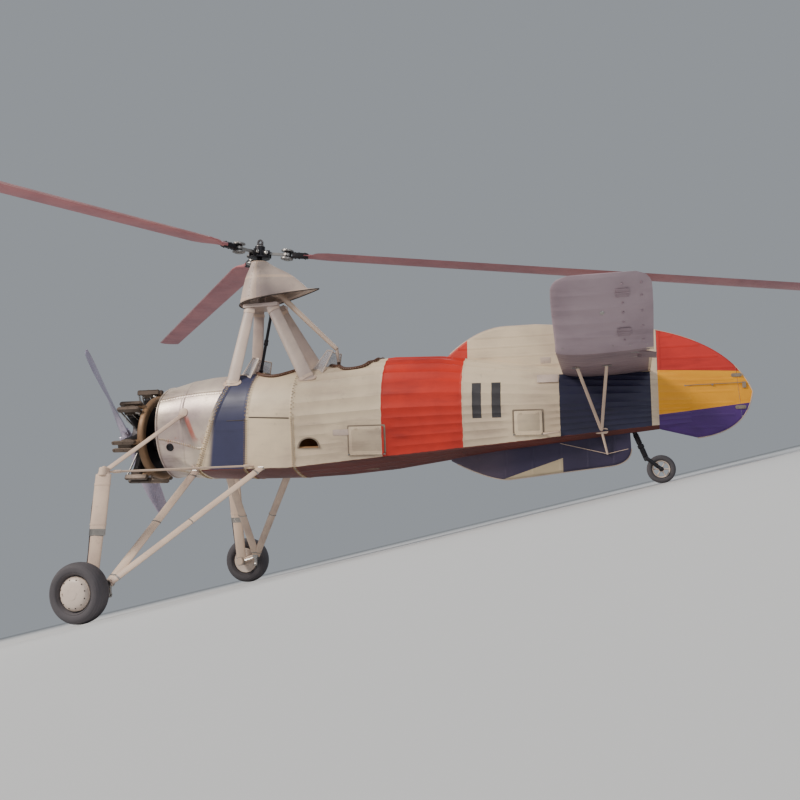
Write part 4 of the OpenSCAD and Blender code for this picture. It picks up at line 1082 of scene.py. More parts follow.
baffle = Shape().band([(0.186, -0.004), (0.342, -0.006), (0.342, 0.006), (0.186, 0.004)], COLLECTOR, 64)
for a in angles(CYLINDERS, 0.5):
    baffle.tube([(-0.36, 0.19 * sin(a), 0.19 * cos(a)), (-0.56, 0.27 * sin(a), 0.27 * cos(a)),
        (-0.765, 0.33 * sin(a), 0.33 * cos(a))], 0.011, 10)
piece(baffle, "baffle_and_mount", DARK)

hub = Shape().lathe([(0.0245, -0.062), (0.046, -0.062), (0.050, -0.058), (0.056, -0.040), (0.0618, -0.036),
    (0.0618, 0.036), (0.056, 0.040), (0.052, 0.050), (0.034, 0.052), (0.030, 0.056), (0.028, 0.062),
    (0.028, 0.080), (0.022, 0.085), (0.0, 0.085)], NOSEWARD, 48, False)
for a in angles(8):
    hub.stud((0.050, 0.044 * sin(a), 0.044 * cos(a)), (1, 0, 0), 0.007, 0.008, 6)
PROP_PARKED = -42
parked = tilt(PROP_PARKED, "X")
for s in (0, pi):
    cuff = parked @ Matrix.Rotation(s, 4, "X")
    hub.lathe([(0.050, 0.048), (0.050, 0.074), (0.046, 0.080), (0.046, 0.105), (0.042, 0.110)], cuff, 36)
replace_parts(piece(hub, "prop_boss", PROP, "propeller"), "prop_hub")
PROP_ROUND = 1.05  # where the tip begins to round off
# radius, chord, thickness, blade angle
PROP_ROWS = [(0.055, .090, .084, 65), (0.173, .096, .070, 60), (0.324, .150, .046, 48),
    (0.594, .178, .028, 32), (0.864, .160, .018, 22), (1.015, .125, .013, 18), (1.080, .060, .008, 16)]


def along_rows(rows, t, column):
    """Smooth line through one column of a table whose first column is the place."""
    for i in range(len(rows) - 1):
        if t <= rows[i + 1][0] or i == len(rows) - 2:
            h = rows[i + 1][0] - rows[i][0]
            f = (t - rows[i][0]) / h
            tangent = []
            for j in (i, i + 1):
                lo, hi = max(j - 1, 0), min(j + 1, len(rows) - 1)
                tangent.append((rows[hi][column] - rows[lo][column]) / (rows[hi][0] - rows[lo][0]))
            a, b = rows[i][column], rows[i + 1][column]
            return (a * (1 + 2 * f) * (1 - f) ** 2 + b * f * f * (3 - 2 * f)
                + h * f * (1 - f) ** 2 * tangent[0] - h * f * f * (1 - f) * tangent[1])


fan = Shape()
for s in (0, pi):
    rings = []
    spans = sweep(0.055, PROP_ROUND, 34) + [1.062, 1.071, 1.077, 1.080]
    for z in spans:
        c, th, q = (along_rows(PROP_ROWS, z, i) for i in (1, 2, 3))
        c = c if z < PROP_ROUND else 0.105 * sqrt(max(0.02, 1 - ((z - PROP_ROUND) / 0.0302) ** 2))
        q = radians(q)
        rings.append(foil((c * 0.45 * sin(q), -c * 0.45 * cos(q), z), c, th, (-sin(q), cos(q), 0),
            (cos(q), sin(q), 0), 14))
    fan.loft(rings, True, True, parked @ Matrix.Rotation(s, 4, "X"))
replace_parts(piece(fan, "prop_blades", PROP, "propeller"), "propeller")

# ---- pylon, fairing and rotor

legs, cuffs = Shape(), Shape()
for foot, top, chord in (((-1.285, .285, .380), (-1.405, .100, 1.240), .132),
        ((-2.110, .285, .400), (-1.630, .104, 1.240), .140)):
    for s in SIDES:
        a, b = mirrored(foot, s), mirrored(top, s)
        d = (b - a).normalized()
        legs.strut(a - d * 0.02, b + d * 0.02, chord, 0.036, chord * 0.82)
        for t, w in ((0.105, 0.030), (0.125, 0.012), (0.93, 0.03)):
            p = a.lerp(b, t)
            cuffs.strut(p, p + d * w, chord * (1 - 0.18 * t) + 0.010, 0.045)
        p = a.lerp(b, 0.10)
        base = on_crown(p.x, p.y)
        n = outward(base.x, find_k(base.x, lambda q: q.y < abs(base.y), 0, 1))
        n = mirrored(n, s)
        cuffs.plate(0.19, 0.075, 0.005, frame_along(base - n * 0.001, base + n), 0.035, 0.002)
        for i in (-1, 1):
            for j in (-1, 1):
                m = facing(base, n)
                cuffs.stud(m @ Vector((i * 0.080, j * 0.026, 0.004)), n, 0.007, 0.005, 6)
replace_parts(piece(legs, "pylon_legs", PYLON), "pylon_front_legs", "pylon_rear_legs")
piece(cuffs, "pylon_cuffs", STRUT)


def drop(z, k, inset, steps=72):
    """Teardrop section of the head cover: k 0 at the skirt, 1 at the neck."""
    r, tail, x0 = mix(0.190, 0.080, k) - inset, mix(0.630, 0.084, k) - 2 * inset, mix(-1.450, HUB_AT.x, k)
    ring = []
    for a in angles(steps):
        c = cos(a)
        ring.append(Vector((x0 + (r if c > 0 else tail) * c,
            r * sin(a) * (1 if c > 0 else 1 - 0.62 * (1 - k) * c * c), z)))
    return ring


FAIRING = [(1.200, 0.0), (1.330, 0.10), (1.450, 0.30), (1.560, 0.55), (1.640, 0.82), (1.700, 1.0)]
heights = sweep(1.200, 1.700, 36)
cover = Shape()
outer = [drop(z, along_rows(FAIRING, z, 1), 0.0) for z in heights]
inner = [drop(z, along_rows(FAIRING, z, 1), 0.003) for z in heights]


def above_skirt(p):
    """Lowers the first rings onto the leaning skirt line."""
    line = 1.256 - (p.x + 1.2) * 0.156
    return Vector((p.x, p.y, max(p.z, line + (p.z - 1.2) * 0.12)))


outer = [[above_skirt(p) for p in ring] for ring in outer]
inner = [[above_skirt(p) for p in ring] for ring in inner]
cover.loft(outer + inner[::-1] + outer[:1], False)
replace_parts(piece(cover, "head_cover", PYLON, smooth=50), "head_fairing")
edge = Shape().hoop([p + (p - Vector((-1.55, 0, p.z))).normalized() * 0.001 for p in outer[0]], 0.006, 8)
piece(edge, "head_cover_edge", BEAD, smooth=60)
trim = Shape()
for i in (8, 24):
    trim.loft([[p + (p - Vector((-1.50, 0, p.z))).normalized() * h for p in outer[i + d]]
        for d, h in ((-1, 0.0002), (0, 0.0022), (1, 0.0002))], False)
for s in SIDES:
    trim.loft([[ring[j if s > 0 else -j] + Vector((0, s * h, 0)) for ring in outer[2:]]
        for j, h in ((17, 0.0), (18, 0.003), (19, 0.0))], False, False)
    for ring in outer[4::3]:
        for j in (16, 20):
            p = ring[j if s > 0 else -j]
            trim.stud(p + Vector((0, s * 0.001, 0)), (0, s, 0.15), 0.005, 0.003, 6)
trim.hoop(outer[-1], 0.005, 8)
piece(trim, "head_cover_trim", STRUT, smooth=60)

shaft_ends = Vector((-1.462, 0, 0.560)), Vector((-1.590, 0, 1.232))
shaft = Shape().tube(shaft_ends, 0.0145, 20)
for t in (0.06, 0.5, 0.93):
    p = shaft_ends[0].lerp(shaft_ends[1], t)
    shaft.lathe([(0.014, -0.03), (0.021, -0.027), (0.021, 0.0), (0.018, 0.004), (0.021, 0.008), (0.021, 0.027),
        (0.014, 0.030)], frame_along(p, (-1.590, 0, 1.24)), 24, False)
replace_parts(piece(shaft, "starter_drive", DARK), "starter_shaft")

PIVOT = SPINDLE @ shift(0, 0, -0.290)
pivot = PIVOT @ Vector((0, 0, 0))
column = Shape()
arm_start = pivot + Vector((-0.018, 0, -0.092))
elbow, grip, foot = Vector((-1.690, 0, 1.345)), Vector((-2.262, 0, 0.790)), Vector((-2.290, 0, 0.560))
column.tube([arm_start, arm_start.lerp(elbow, 0.6), arm_start.lerp(elbow, 0.93),
    elbow + Vector((-0.004, 0, -0.002)), elbow.lerp(grip, 0.05), elbow.lerp(grip, 0.5), elbow.lerp(grip, 0.96),
    grip], [0.026, 0.026, 0.026, 0.027, 0.028, 0.026, 0.022, 0.021], 24)
column.tube([grip, grip.lerp(foot, 0.3), foot], 0.0145, 16)
column.tube([elbow + Vector((0, 0, 0.03)), elbow.lerp(grip, 0.3) + Vector((0, 0, 0.028)),
    elbow.lerp(grip, 0.8) + Vector((0, 0, 0.026))], 0.004, 8)
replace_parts(piece(column, "hanging_column", STRUT, "tilting_head"), "control_column")
holder = Shape().lathe([(0.010, 0), (0.0155, 0.004), (0.0165, 0.03), (0.0155, 0.055), (0.0165, 0.08),
    (0.0155, 0.105), (0.010, 0.110)], frame_along(foot, grip), 24)
piece(holder, "column_grip", LEATHER, "tilting_head")

bolts = {"airframe": Shape(), "rotor": Shape(), "tilting_head": Shape(), "gimbal": Shape()}
for s in SIDES:
    bolts["airframe"].lathe([(0.026, 0), (0.026, 0.004), (0.020, 0.005), (0.020, 0.014), (0.014, 0.016)],
        frame_along((pivot.x, s * 0.086, pivot.z), (pivot.x, s * 0.2, pivot.z)), 6)
    for x in (-1.40, -1.60):
        bolts["airframe"].stud((x, s * 0.115, 1.266), (0, 0, 1), 0.011, 0.010, 6)
    bolts["tilting_head"].lathe([(0.018, 0), (0.018, 0.012), (0.012, 0.016)],
        frame_along(PIVOT @ Vector((s * 0.076, 0, 0)), PIVOT @ Vector((s * 0.2, 0, 0)), (0, 1, 0)), 6)
    for q in (-0.04, 0.04):
        bolts["gimbal"].stud(PIVOT @ Vector((s * 0.060, q, 0.024)), swung(PIVOT, 0, 0, 1), 0.008, 0.006, 6)
for k in range(3):
    spin = SPINDLE @ tilt(190 + 120 * k, "Z")
    for s in SIDES:
        bolts["rotor"].lathe([(0.020, 0), (0.020, 0.010), (0.014, 0.014)],
            frame_along(spin @ Vector((FLAP_R, s * 0.046, 0)), spin @ Vector((FLAP_R, s * 0.2, 0)), (0, 0, 1)),
            6)
    for q in (-0.5, 0, 0.5):
        bolts["rotor"].stud(spin @ Vector((0.085 * cos(q + 1.05), 0.085 * sin(q + 1.05), -0.036)),
            swung(SPINDLE, 0, 0, 1), 0.007, 0.006, 6)
bolts["rotor"].lathe([(0.045, 0.066), (0.045, 0.072), (0.040, 0.076), (0.036, 0.0765)], SPINDLE, 36)
for body, shape in bolts.items():
    piece(shape, body + "_bolts", STEEL, body)

BLADE_SET = 0.27 * -0.9 + 0.1  # how far the leading edge moves aft as the chord grows, per metre
BLADE_BODY = {1: ("aft_blade", "aft_blade"), 2: ("port_link", "port_blade"),
    3: ("starboard_link", "starboard_blade")}
BLADE_IN, BLADE_OUT, RIB_STEP = 0.72, 5.57, 0.204  # ends of the full chord, and the rib spacing
# radius, chord, thickness
BLADE_ROWS = [(0.450, .070, .046), (0.510, .078, .044), (0.620, .2408, .036), (0.720, .280, .036),
    (5.570, .280, .034), (5.618, .252, .028), (5.640, .168, .014)]
for k in (1, 2, 3):
    frame_k = (SPINDLE @ tilt(190 - 120 * (k - 1), "Z") @ shift(FLAP_R, 0, 0) @ Matrix.Rotation(DROOP, 4, "Y")
        @ shift(-FLAP_R, 0, 0))
    link_body, blade_body = BLADE_BODY[k]
    spans = [0.45, 0.49, 0.51, 0.53, 0.56, 0.59, 0.62, 0.65, 0.68, 0.72]
    for i in range(1, 24):
        spans += [BLADE_IN + i * RIB_STEP + d for d in (-0.010, -0.007, 0.007, 0.010)]
    spans += [5.57, 5.585, 5.60, 5.612, 5.622, 5.631, 5.637, 5.640]
    rings = []
    for x in spans:
        i = max(j for j in range(len(BLADE_ROWS) - 1) if x >= BLADE_ROWS[j][0])
        f = (x - BLADE_ROWS[i][0]) / (BLADE_ROWS[i + 1][0] - BLADE_ROWS[i][0])
        if 0.51 < x < BLADE_IN:
            f = f * f * (3 - 2 * f) if i == 1 else f
        c, th = mix(BLADE_ROWS[i][1], BLADE_ROWS[i + 1][1], f), mix(BLADE_ROWS[i][2], BLADE_ROWS[i + 1][2], f)
        if x > BLADE_OUT:
            c, th = 0.280 - 0.112 * ((x - BLADE_OUT) / 0.07) ** 3, 0.034 - 0.024 * ((x - BLADE_OUT) / 0.07) ** 2
        rib = 0.0004 if BLADE_IN < x < 5.56 and (round((x - BLADE_IN + 0.007) / RIB_STEP,
            3) % 1 < 0.075) else 0.0
        rings.append(foil((x, c * 0.5 + (c - 0.070) * BLADE_SET, 0), c, th + rib, (0, -1, 0), (0, 0, 1), 20))
    blade = Shape().loft(rings, True, True, frame_k)
    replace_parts(piece(blade, blade_body + "_skin", BLADE, blade_body, smooth=50), f"blade_{k}")
    root = Shape()
    root.plate(0.165, 0.060, 0.052, frame_k @ shift(0.4145, 0, -0.026), 0.012, 0.008)
    for z in (-0.0268, 0.0152):
        root.plate(0.11, 0.066, 0.0116, frame_k @ shift(DRAG_R + 0.022, 0, z), 0.032, 0.002)
    for x in (0.36, 0.40, 0.46):
        for s in SIDES:
            root.stud(frame_k @ Vector((x, s * 0.018, 0.0262)), swung(frame_k, 0, 0, 1), 0.007, 0.006, 6)
            root.stud(frame_k @ Vector((x, s * 0.018, -0.0262)), swung(frame_k, 0, 0, -1), 0.007, 0.006, 6)
    piece(root, blade_body + "_root", DARK, blade_body)
    edges = Shape()
    lead = 0.5 * 0.28 + 0.21 * BLADE_SET
    edges.loft([[Vector((x, lead - a, h)) for x in sweep(0.75, 5.55, 24)]
        for a, h in ((0.022, 0.0118), (0.006, 0.0075), (-0.0016, 0.0), (0.006, -0.0075), (0.022, -0.0118))],
        False, False, frame_k)
    edges.plate(4.70, 0.010, 0.0022, frame_k @ shift(3.15, -0.131, -0.0011), 0.002, 0.0005)
    piece(edges, blade_body + "_edges", BLADE_EDGE, blade_body, smooth=60)
    damper = Shape()
    for z, d in ((0.044, 1), (-0.044, -1)):
        place = frame_k @ shift(DRAG_R, 0, z)
        damper.lathe([(0.055, 0), (0.055, d * 0.003), (0.030, d * 0.006), (0.030, d * 0.012),
            (0.016, d * 0.015), (0.0, d * 0.015)], place, 36, False)
        for a in angles(8):
            damper.stud(place @ Vector((0.047 * cos(a), 0.047 * sin(a), d * 0.003)), swung(frame_k, 0, 0, d),
                0.005, 0.004, 6)
    piece(damper, link_body + "_damper_bolts", STEEL, link_body)

# ---- tail

BACK = (-1, 0, 0)
C45 = cos(radians(45))
TIP_Y, TIP_Z = 1.262, 0.455
STAY_Y = 0.700
# distance up the tip, leading edge, chord, thickness
TIP_ROWS = [(0.060, -4.445, 0.700, 0.058), (0.540, -4.453, 0.692, 0.048), (0.620, -4.498, 0.610, 0.034),
    (0.650, -4.573, 0.470, 0.012)]
PLANE_RIBS = [0.24, 0.36, 0.48, 0.60, 0.72, 0.84, 0.96, 1.08, 1.18]
TIP_RIBS = [0.14, 0.26, 0.38, 0.50]


def around(ribs, half=0.007, gap=0.004):
    """Sections at both sides of each rib, close together."""
    return [r + d for r in ribs for d in (-half - gap, -half, half, half + gap)]


def on_tip(side, x, t, below=0.0):
    """A place on the upturned tip, t up its slope from the bend."""
    return Vector((x, side * (TIP_Y + t * C45), TIP_Z + t * C45)) + Vector((0, side * C45, -C45)) * below


for s, word in zip(SIDES, ("left", "right")):
    rings = []
    for y in sorted(around(PLANE_RIBS) + [0.027, 0.8999, 0.9001, 1.1899, 1.1901, 1.232]):
        f = (y - 0.027) / 1.205
        rib = 0.0032 if any(abs(y - r) < 0.008 for r in PLANE_RIBS) else 0
        ring = foil((mix(-4.383, -4.440, f), y, mix(0.443, 0.455, f)), mix(0.742, 0.704, f),
            mix(0.084, 0.062, f) + rib, BACK, (0, 0, 1), 20)
        rings.append([Vector((max(p.x, -5.025), p.y, p.z)) for p in ring] if 0.9 < y < 1.19 else ring)
    q = radians(22.5)
    rings.append(foil((-4.442, 1.272, 0.459), 0.702, 0.060, BACK, Vector((0, -sin(q), cos(q))) / cos(q), 20))
    for t in sorted(around(TIP_RIBS) + sweep(0.54, 0.65, 14) + [0.06]):
        x, c, th = (along_rows(TIP_ROWS, t, i) for i in (1, 2, 3))
        th += 0.003 if any(abs(t - r) < 0.008 for r in TIP_RIBS) else 0
        rings.append(foil(on_tip(1, x, t), c, th, BACK, (0, -C45, C45), 20))
    plane = Shape().loft([[mirrored(p, s) for p in ring] for ring in rings])
    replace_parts(piece(plane, word + "_tailplane_cloth", PLANE, smooth=50), word + "_tailplane")
    fit = Shape()
    for y in (0.93, 1.16):
        fit.plate(0.060, 0.010, 0.034, shift(-5.012, s * y, 0.437), 0.004, 0.001)
        fit.stud((-5.022, s * (y + 0.006), 0.456), (0, 1, 0), 0.006, 0.005, 6)
    for x, z in ((-4.56, 0.488), (-4.83, 0.484)):
        fit.plate(0.070, 0.040, 0.004, shift(x, s * STAY_Y, z - 0.0045), 0.012, 0.001)
        fit.stud((x, s * STAY_Y, z), (0, 0, 1), 0.008, 0.006, 6)
    for x, z in ((-4.545, 0.404), (-4.790, 0.412)):
        fit.plate(0.075, 0.036, 0.006, shift(x, s * STAY_Y, z - 0.004), 0.012, 0.001)
    cap = on_tip(s, -4.80, 0.34, 0.018)
    fit.lathe([(0.018, 0), (0.018, 0.004), (0.013, 0.010), (0.0, 0.012)], facing(cap, (0, s, -1)), 28, False)
    for x in (-4.50, -4.62, -4.74, -4.86, -4.98, -5.10):
        fit.stud(on_tip(s, x, 0.05) + Vector((0, s, -1)) * C45 * 0.026, (0, s, -1), 0.0045, 0.003, 6)
    piece(fit, word + "_tailplane_fittings", STEEL)
    hinges = Shape()
    for t in (0.165, 0.495):
        face = facing(on_tip(s, -4.945, t, 0.0225 if t < 0.3 else 0.0195), (0, s, -1))
        for q in (1, -1):
            hinges.plate(0.092, 0.030, 0.004, face @ shift(0, q * 0.020, 0), 0.006, 0.001)
            for r in (1, -1):
                hinges.stud(face @ Vector((r * 0.034, q * 0.022, 0.004)), (0, s, -1), 0.005, 0.003, 6)
        hinges.tube(placed(face, (-0.050, 0, 0.004), (0.050, 0, 0.004)), 0.0042, 10)
    for x, spots in ((-4.945, (0.09, 0.25, 0.33, 0.41, 0.565)), (-5.075, (0.08, 0.20, 0.33, 0.46, 0.56))):
        for t in spots:
            hinges.stud(on_tip(s, x, t, 0.019 if x > -5 else 0.009), (0, s, -1), 0.008, 0.006, 10)
    piece(hinges, word + "_tip_hinge_plates", TIP_FITTING)
tabs = Shape()
for s in SIDES:
    lean = shift(-5.0265, 0, 0.453) @ tilt(-10, "Y")
    rings = [[(0.0, s * y, 0.009), (-0.004, s * y, 0.010), (-0.138, s * y, 0.0026), (-0.140, s * y, 0.0),
        (-0.138, s * y, -0.0026), (-0.004, s * y, -0.010), (0.0, s * y, -0.009)]
        for y in (0.903, 0.906, 1.184, 1.187)]
    tabs.loft(rings, True, True, lean)
    tabs.plate(0.030, 0.005, 0.062, lean @ shift(-0.020, s * 1.045, -0.031), 0.002, 0.001)
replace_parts(piece(tabs, "trim_tabs", PLANE), "tail_tabs")


def bend(a, b, c, steps):
    """A curve from a to c that leaves towards b."""
    a, b, c = Vector(a), Vector(b), Vector(c)
    return [a.lerp(b, i / steps).lerp(b.lerp(c, i / steps), i / steps) for i in range(steps + 1)]


def height_on(line, x):
    """Height of a line at x; the line runs aft."""
    for a, b in zip(line, line[1:]):
        if a[0] >= x >= b[0]:
            return mix(a[1], b[1], (a[0] - x) / max(1e-6, a[0] - b[0]))
    return line[0][1] if x > line[0][0] else line[-1][1]


STERN_HIGH = bend((-5.100, .812), (-5.780, .660), (-5.936, .230), 24)
STERN_LOW = bend((-5.936, .230), (-5.890, -.105), (-5.487, -.146), 16)
FIN_TOP = bend((-3.320, .640), (-3.600, .900), (-3.870, .905), 12) + [Vector((-4.154, .905))] + STERN_HIGH
FIN_LOW = [Vector(p) for p in ((-3.320, .500), (-4.0, .300), (-5.1, .2), (-5.162, -.060))] + STERN_LOW[::-1]
KEEL_LOW = [Vector((-3.351, -.2))] + bend((-3.360, -.300), (-3.700, -.475), (-3.880, -.475),
    12) + [Vector((-4.304, -.424))] + bend((-4.760, -.372), (-4.935, -.350), (-4.940, -.226), 12)
KEEL_TOP = [Vector(p) for p in ((-3.351, -.199), (-4.2, 0), (-4.934, -.020), (-4.941, -.225))]
RIB_TAPE = ((-0.013, 0.0), (-0.010, 0.0012), (0.010, 0.0012), (0.013, 0.0))
# x, half thickness
FIN_HALF = [(-3.2, .008), (-3.7, .020), (-4.4, .027), (-5.45, .027), (-5.96, .006)]


def tab_hinge(z):
    """x of the fin tab's front edge, which leans."""
    return mix(-5.842, -5.800, (z - 0.015) / 0.528)


def fin_side(side, x, h):
    """y of a fin's side, lifted by h."""
    return side * (height_on(FIN_HALF, x) + h)


def slab(xs, top, low, steps=8):
    """A fin drawn as upright sections, flat sided with rounded edges."""
    rings = []
    for x in xs:
        high, down, h = height_on(top, x), height_on(low, x), height_on(FIN_HALF, x)
        e = min(0.024, max(0.0008, (high - down) / 2))
        ring = [(x, h * cos(a), high - e + e * sin(a)) for a in sweep(0, pi, steps)]
        rings.append(ring + [(x, h * cos(a), down + e + e * sin(a))
            for a in [pi * (1 + i / steps) for i in range(steps + 1)]])
    return Shape().loft(rings)


def slope(x0, x1, n):
    """Places along x, closer together towards both ends."""
    return [x0 + (x1 - x0) * (1 - cos(pi * i / n)) / 2 for i in range(n + 1)]


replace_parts(piece(slab(slope(-3.322, -5.1785, 60), FIN_TOP, FIN_LOW), "upper_fin_cloth", FIN,
    smooth=50), "dorsal_fin")
tab_line = [(-5.800, .543), (-6.05, .543), (-6.05, .015), (-5.842, .015)]
tool = Shape().loft([[(x, y, z) for x, z in tab_line] for y in (-0.08, 0.08)])
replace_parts(piece(slab(slope(-5.1815, -5.9355, 60), FIN_TOP, FIN_LOW), "rear_fin_cloth", FIN,
    smooth=50, cutters=(tool,)), "tail_fin")
back_edge = sorted(STERN_HIGH + STERN_LOW, key=lambda p: -p[1])
tab = Shape()
rings = []
for z in [0.018, 0.021] + sweep(0.03, 0.53, 60):
    front = tab_hinge(z) - 0.003
    rear = height_on([(p[1], p[0]) for p in back_edge], z) + 0.001
    if rear > front - 0.008:
        continue
    e = 0.003 if 0.02 < z < 0.538 else 0.0
    half = height_on(FIN_HALF, front)
    rings.append([(front, half * 0.6, z), (front - 0.004, half, z), (rear + 0.003, 0.005, z), (rear, 0.002, z),
        (rear, -0.002, z), (rear + 0.003, -0.005, z), (front - 0.004, -half, z), (front, -half * 0.6, z)])
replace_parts(piece(tab.loft(rings), "fin_tab_cloth", FIN), "fin_tab")
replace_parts(piece(slab(slope(-3.352, -4.9395, 60), KEEL_TOP, KEEL_LOW), "lower_fin_cloth", KEEL,
    smooth=50), "ventral_fin")

ribs = Shape()
for s in SIDES:
    for z in (0.54, 0.63, 0.72, 0.81):
        line = [x for x in sweep(-3.34, -5.16, 70) if height_on(FIN_TOP, x) > z + 0.02]
        ribs.loft([[(x, fin_side(s, x, h), z + d) for x in line] for d, h in RIB_TAPE], False, False)
    for z in (-0.06, 0.04, 0.14, 0.24, 0.34, 0.44, 0.54, 0.64, 0.73):
        line = [x for x in sweep(-5.195, -5.79, 30) if height_on(FIN_TOP, x) > z + 0.02
            and height_on(FIN_LOW, x) < z - 0.02]
        if len(line) > 2:
            ribs.loft([[(x, fin_side(s, x, h), z + d) for x in line] for d, h in RIB_TAPE], False, False)
    ribs.loft([[(x + d, fin_side(s, x, h), z) for z in sweep(-0.03, 0.78, 20)]
        for x, d, h in ((-5.20, -0.013, 0.0), (-5.20, -0.010, 0.0014), (-5.20, 0.010, 0.0014),
        (-5.20, 0.013, 0.0))], False, False)
piece(ribs, "fin_rib_tapes", FIN, smooth=60)
keel_ribs = Shape()
for s in SIDES:
    for x in (-3.62, -3.86, -4.10, -4.34, -4.58, -4.80):
        keel_ribs.loft([[(x + d, fin_side(s, x, h), z) for z in sweep(height_on(KEEL_LOW, x) + 0.02, -0.05,
            10)] for d, h in RIB_TAPE], False, False)
piece(keel_ribs, "lower_fin_rib_tapes", KEEL, smooth=60)
edging = Shape()
edging.tube([(p[0] + 0.001, 0, p[1] - 0.002) for p in FIN_TOP if p[1] > 0.66], 0.0075, 8)
edging.tube([(p[0] + 0.002, 0, p[1]) for p in FIN_TOP[-8:] + FIN_LOW[:3:-1]], 0.0065, 8)
edging.tube([(p[0], 0, p[1] + 0.002) for p in KEEL_LOW[2:]], 0.0075, 8)
piece(edging, "fin_edging", STRUT, smooth=60)
brackets = Shape()
for z in (0.10, 0.37):
    x = tab_hinge(z)
    for s in SIDES:
        brackets.plate(0.085, 0.030, 0.006, frame_along((x, s * 0.013, z), (x, s * 0.1, z)), 0.012, 0.001)
        for d in (-0.026, 0.026):
            brackets.stud((x + d, s * 0.019, z), (0, s, 0), 0.005, 0.004, 6)
brackets.plate(0.030, 0.006, 0.052, shift(-5.870, 0.018, 0.26), 0.003, 0.001)
brackets.tube([(-5.868, 0.020, 0.305), (-5.50, 0.034, 0.300), (-5.22, 0.034, 0.290)], 0.003, 8)
for x in (-5.23, -5.40, -5.62):
    brackets.stud((x, 0.030, 0.296), (0, 1, 0), 0.010, 0.006, 10)
fin_plates = Shape()
for s in SIDES:
    face = frame_along((-4.235, s * height_on(FIN_HALF, -4.235), 0.575), (-4.235, s, 0.575))
    fin_plates.plate(0.090, 0.055, 0.003, face, 0.006, 0.001)
    for i in (-1, 1):
        for j in (-1, 1):
            fin_plates.stud(face @ Vector((i * 0.035, j * 0.018, 0.003)), (0, s, 0), 0.004, 0.002, 6)
piece(fin_plates, "fin_plates", PYLON)
piece(brackets, "tab_brackets", SHADOW_PAINT)

stays = Shape()
for s in SIDES:
    foot = Vector((-4.702, s * 0.108, -0.070))
    for top in ((-4.545, s * STAY_Y, 0.443), (-4.790, s * STAY_Y, 0.443)):
        d = (Vector(top) - foot).normalized()
        stays.strut(foot - d * 0.005, Vector(top) - d * 0.030, 0.027, 0.018)
        stays.tube([foot - d * 0.004, foot + d * 0.055], 0.0125, 12)
        stays.tube([Vector(top) - d * 0.09, Vector(top) - d * 0.02], 0.0125, 12)
    stays.plate(0.11, 0.05, 0.008, facing(foot, (0, s, -0.4)), 0.02, 0.002)
    low = Vector((-4.742, s * 0.045, -0.270))
    stays.tube([foot, low], [0.0125, 0.009], 12)
    for end in ((-4.340, s * 0.026, -0.165), (-4.925, s * 0.024, -0.225)):
        stays.tube([low + Vector((0, 0, 0.004)), end], 0.0026, 6)
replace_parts(piece(stays, "tailplane_stays", STRUT), "tailplane_struts")

# ---- undercarriage

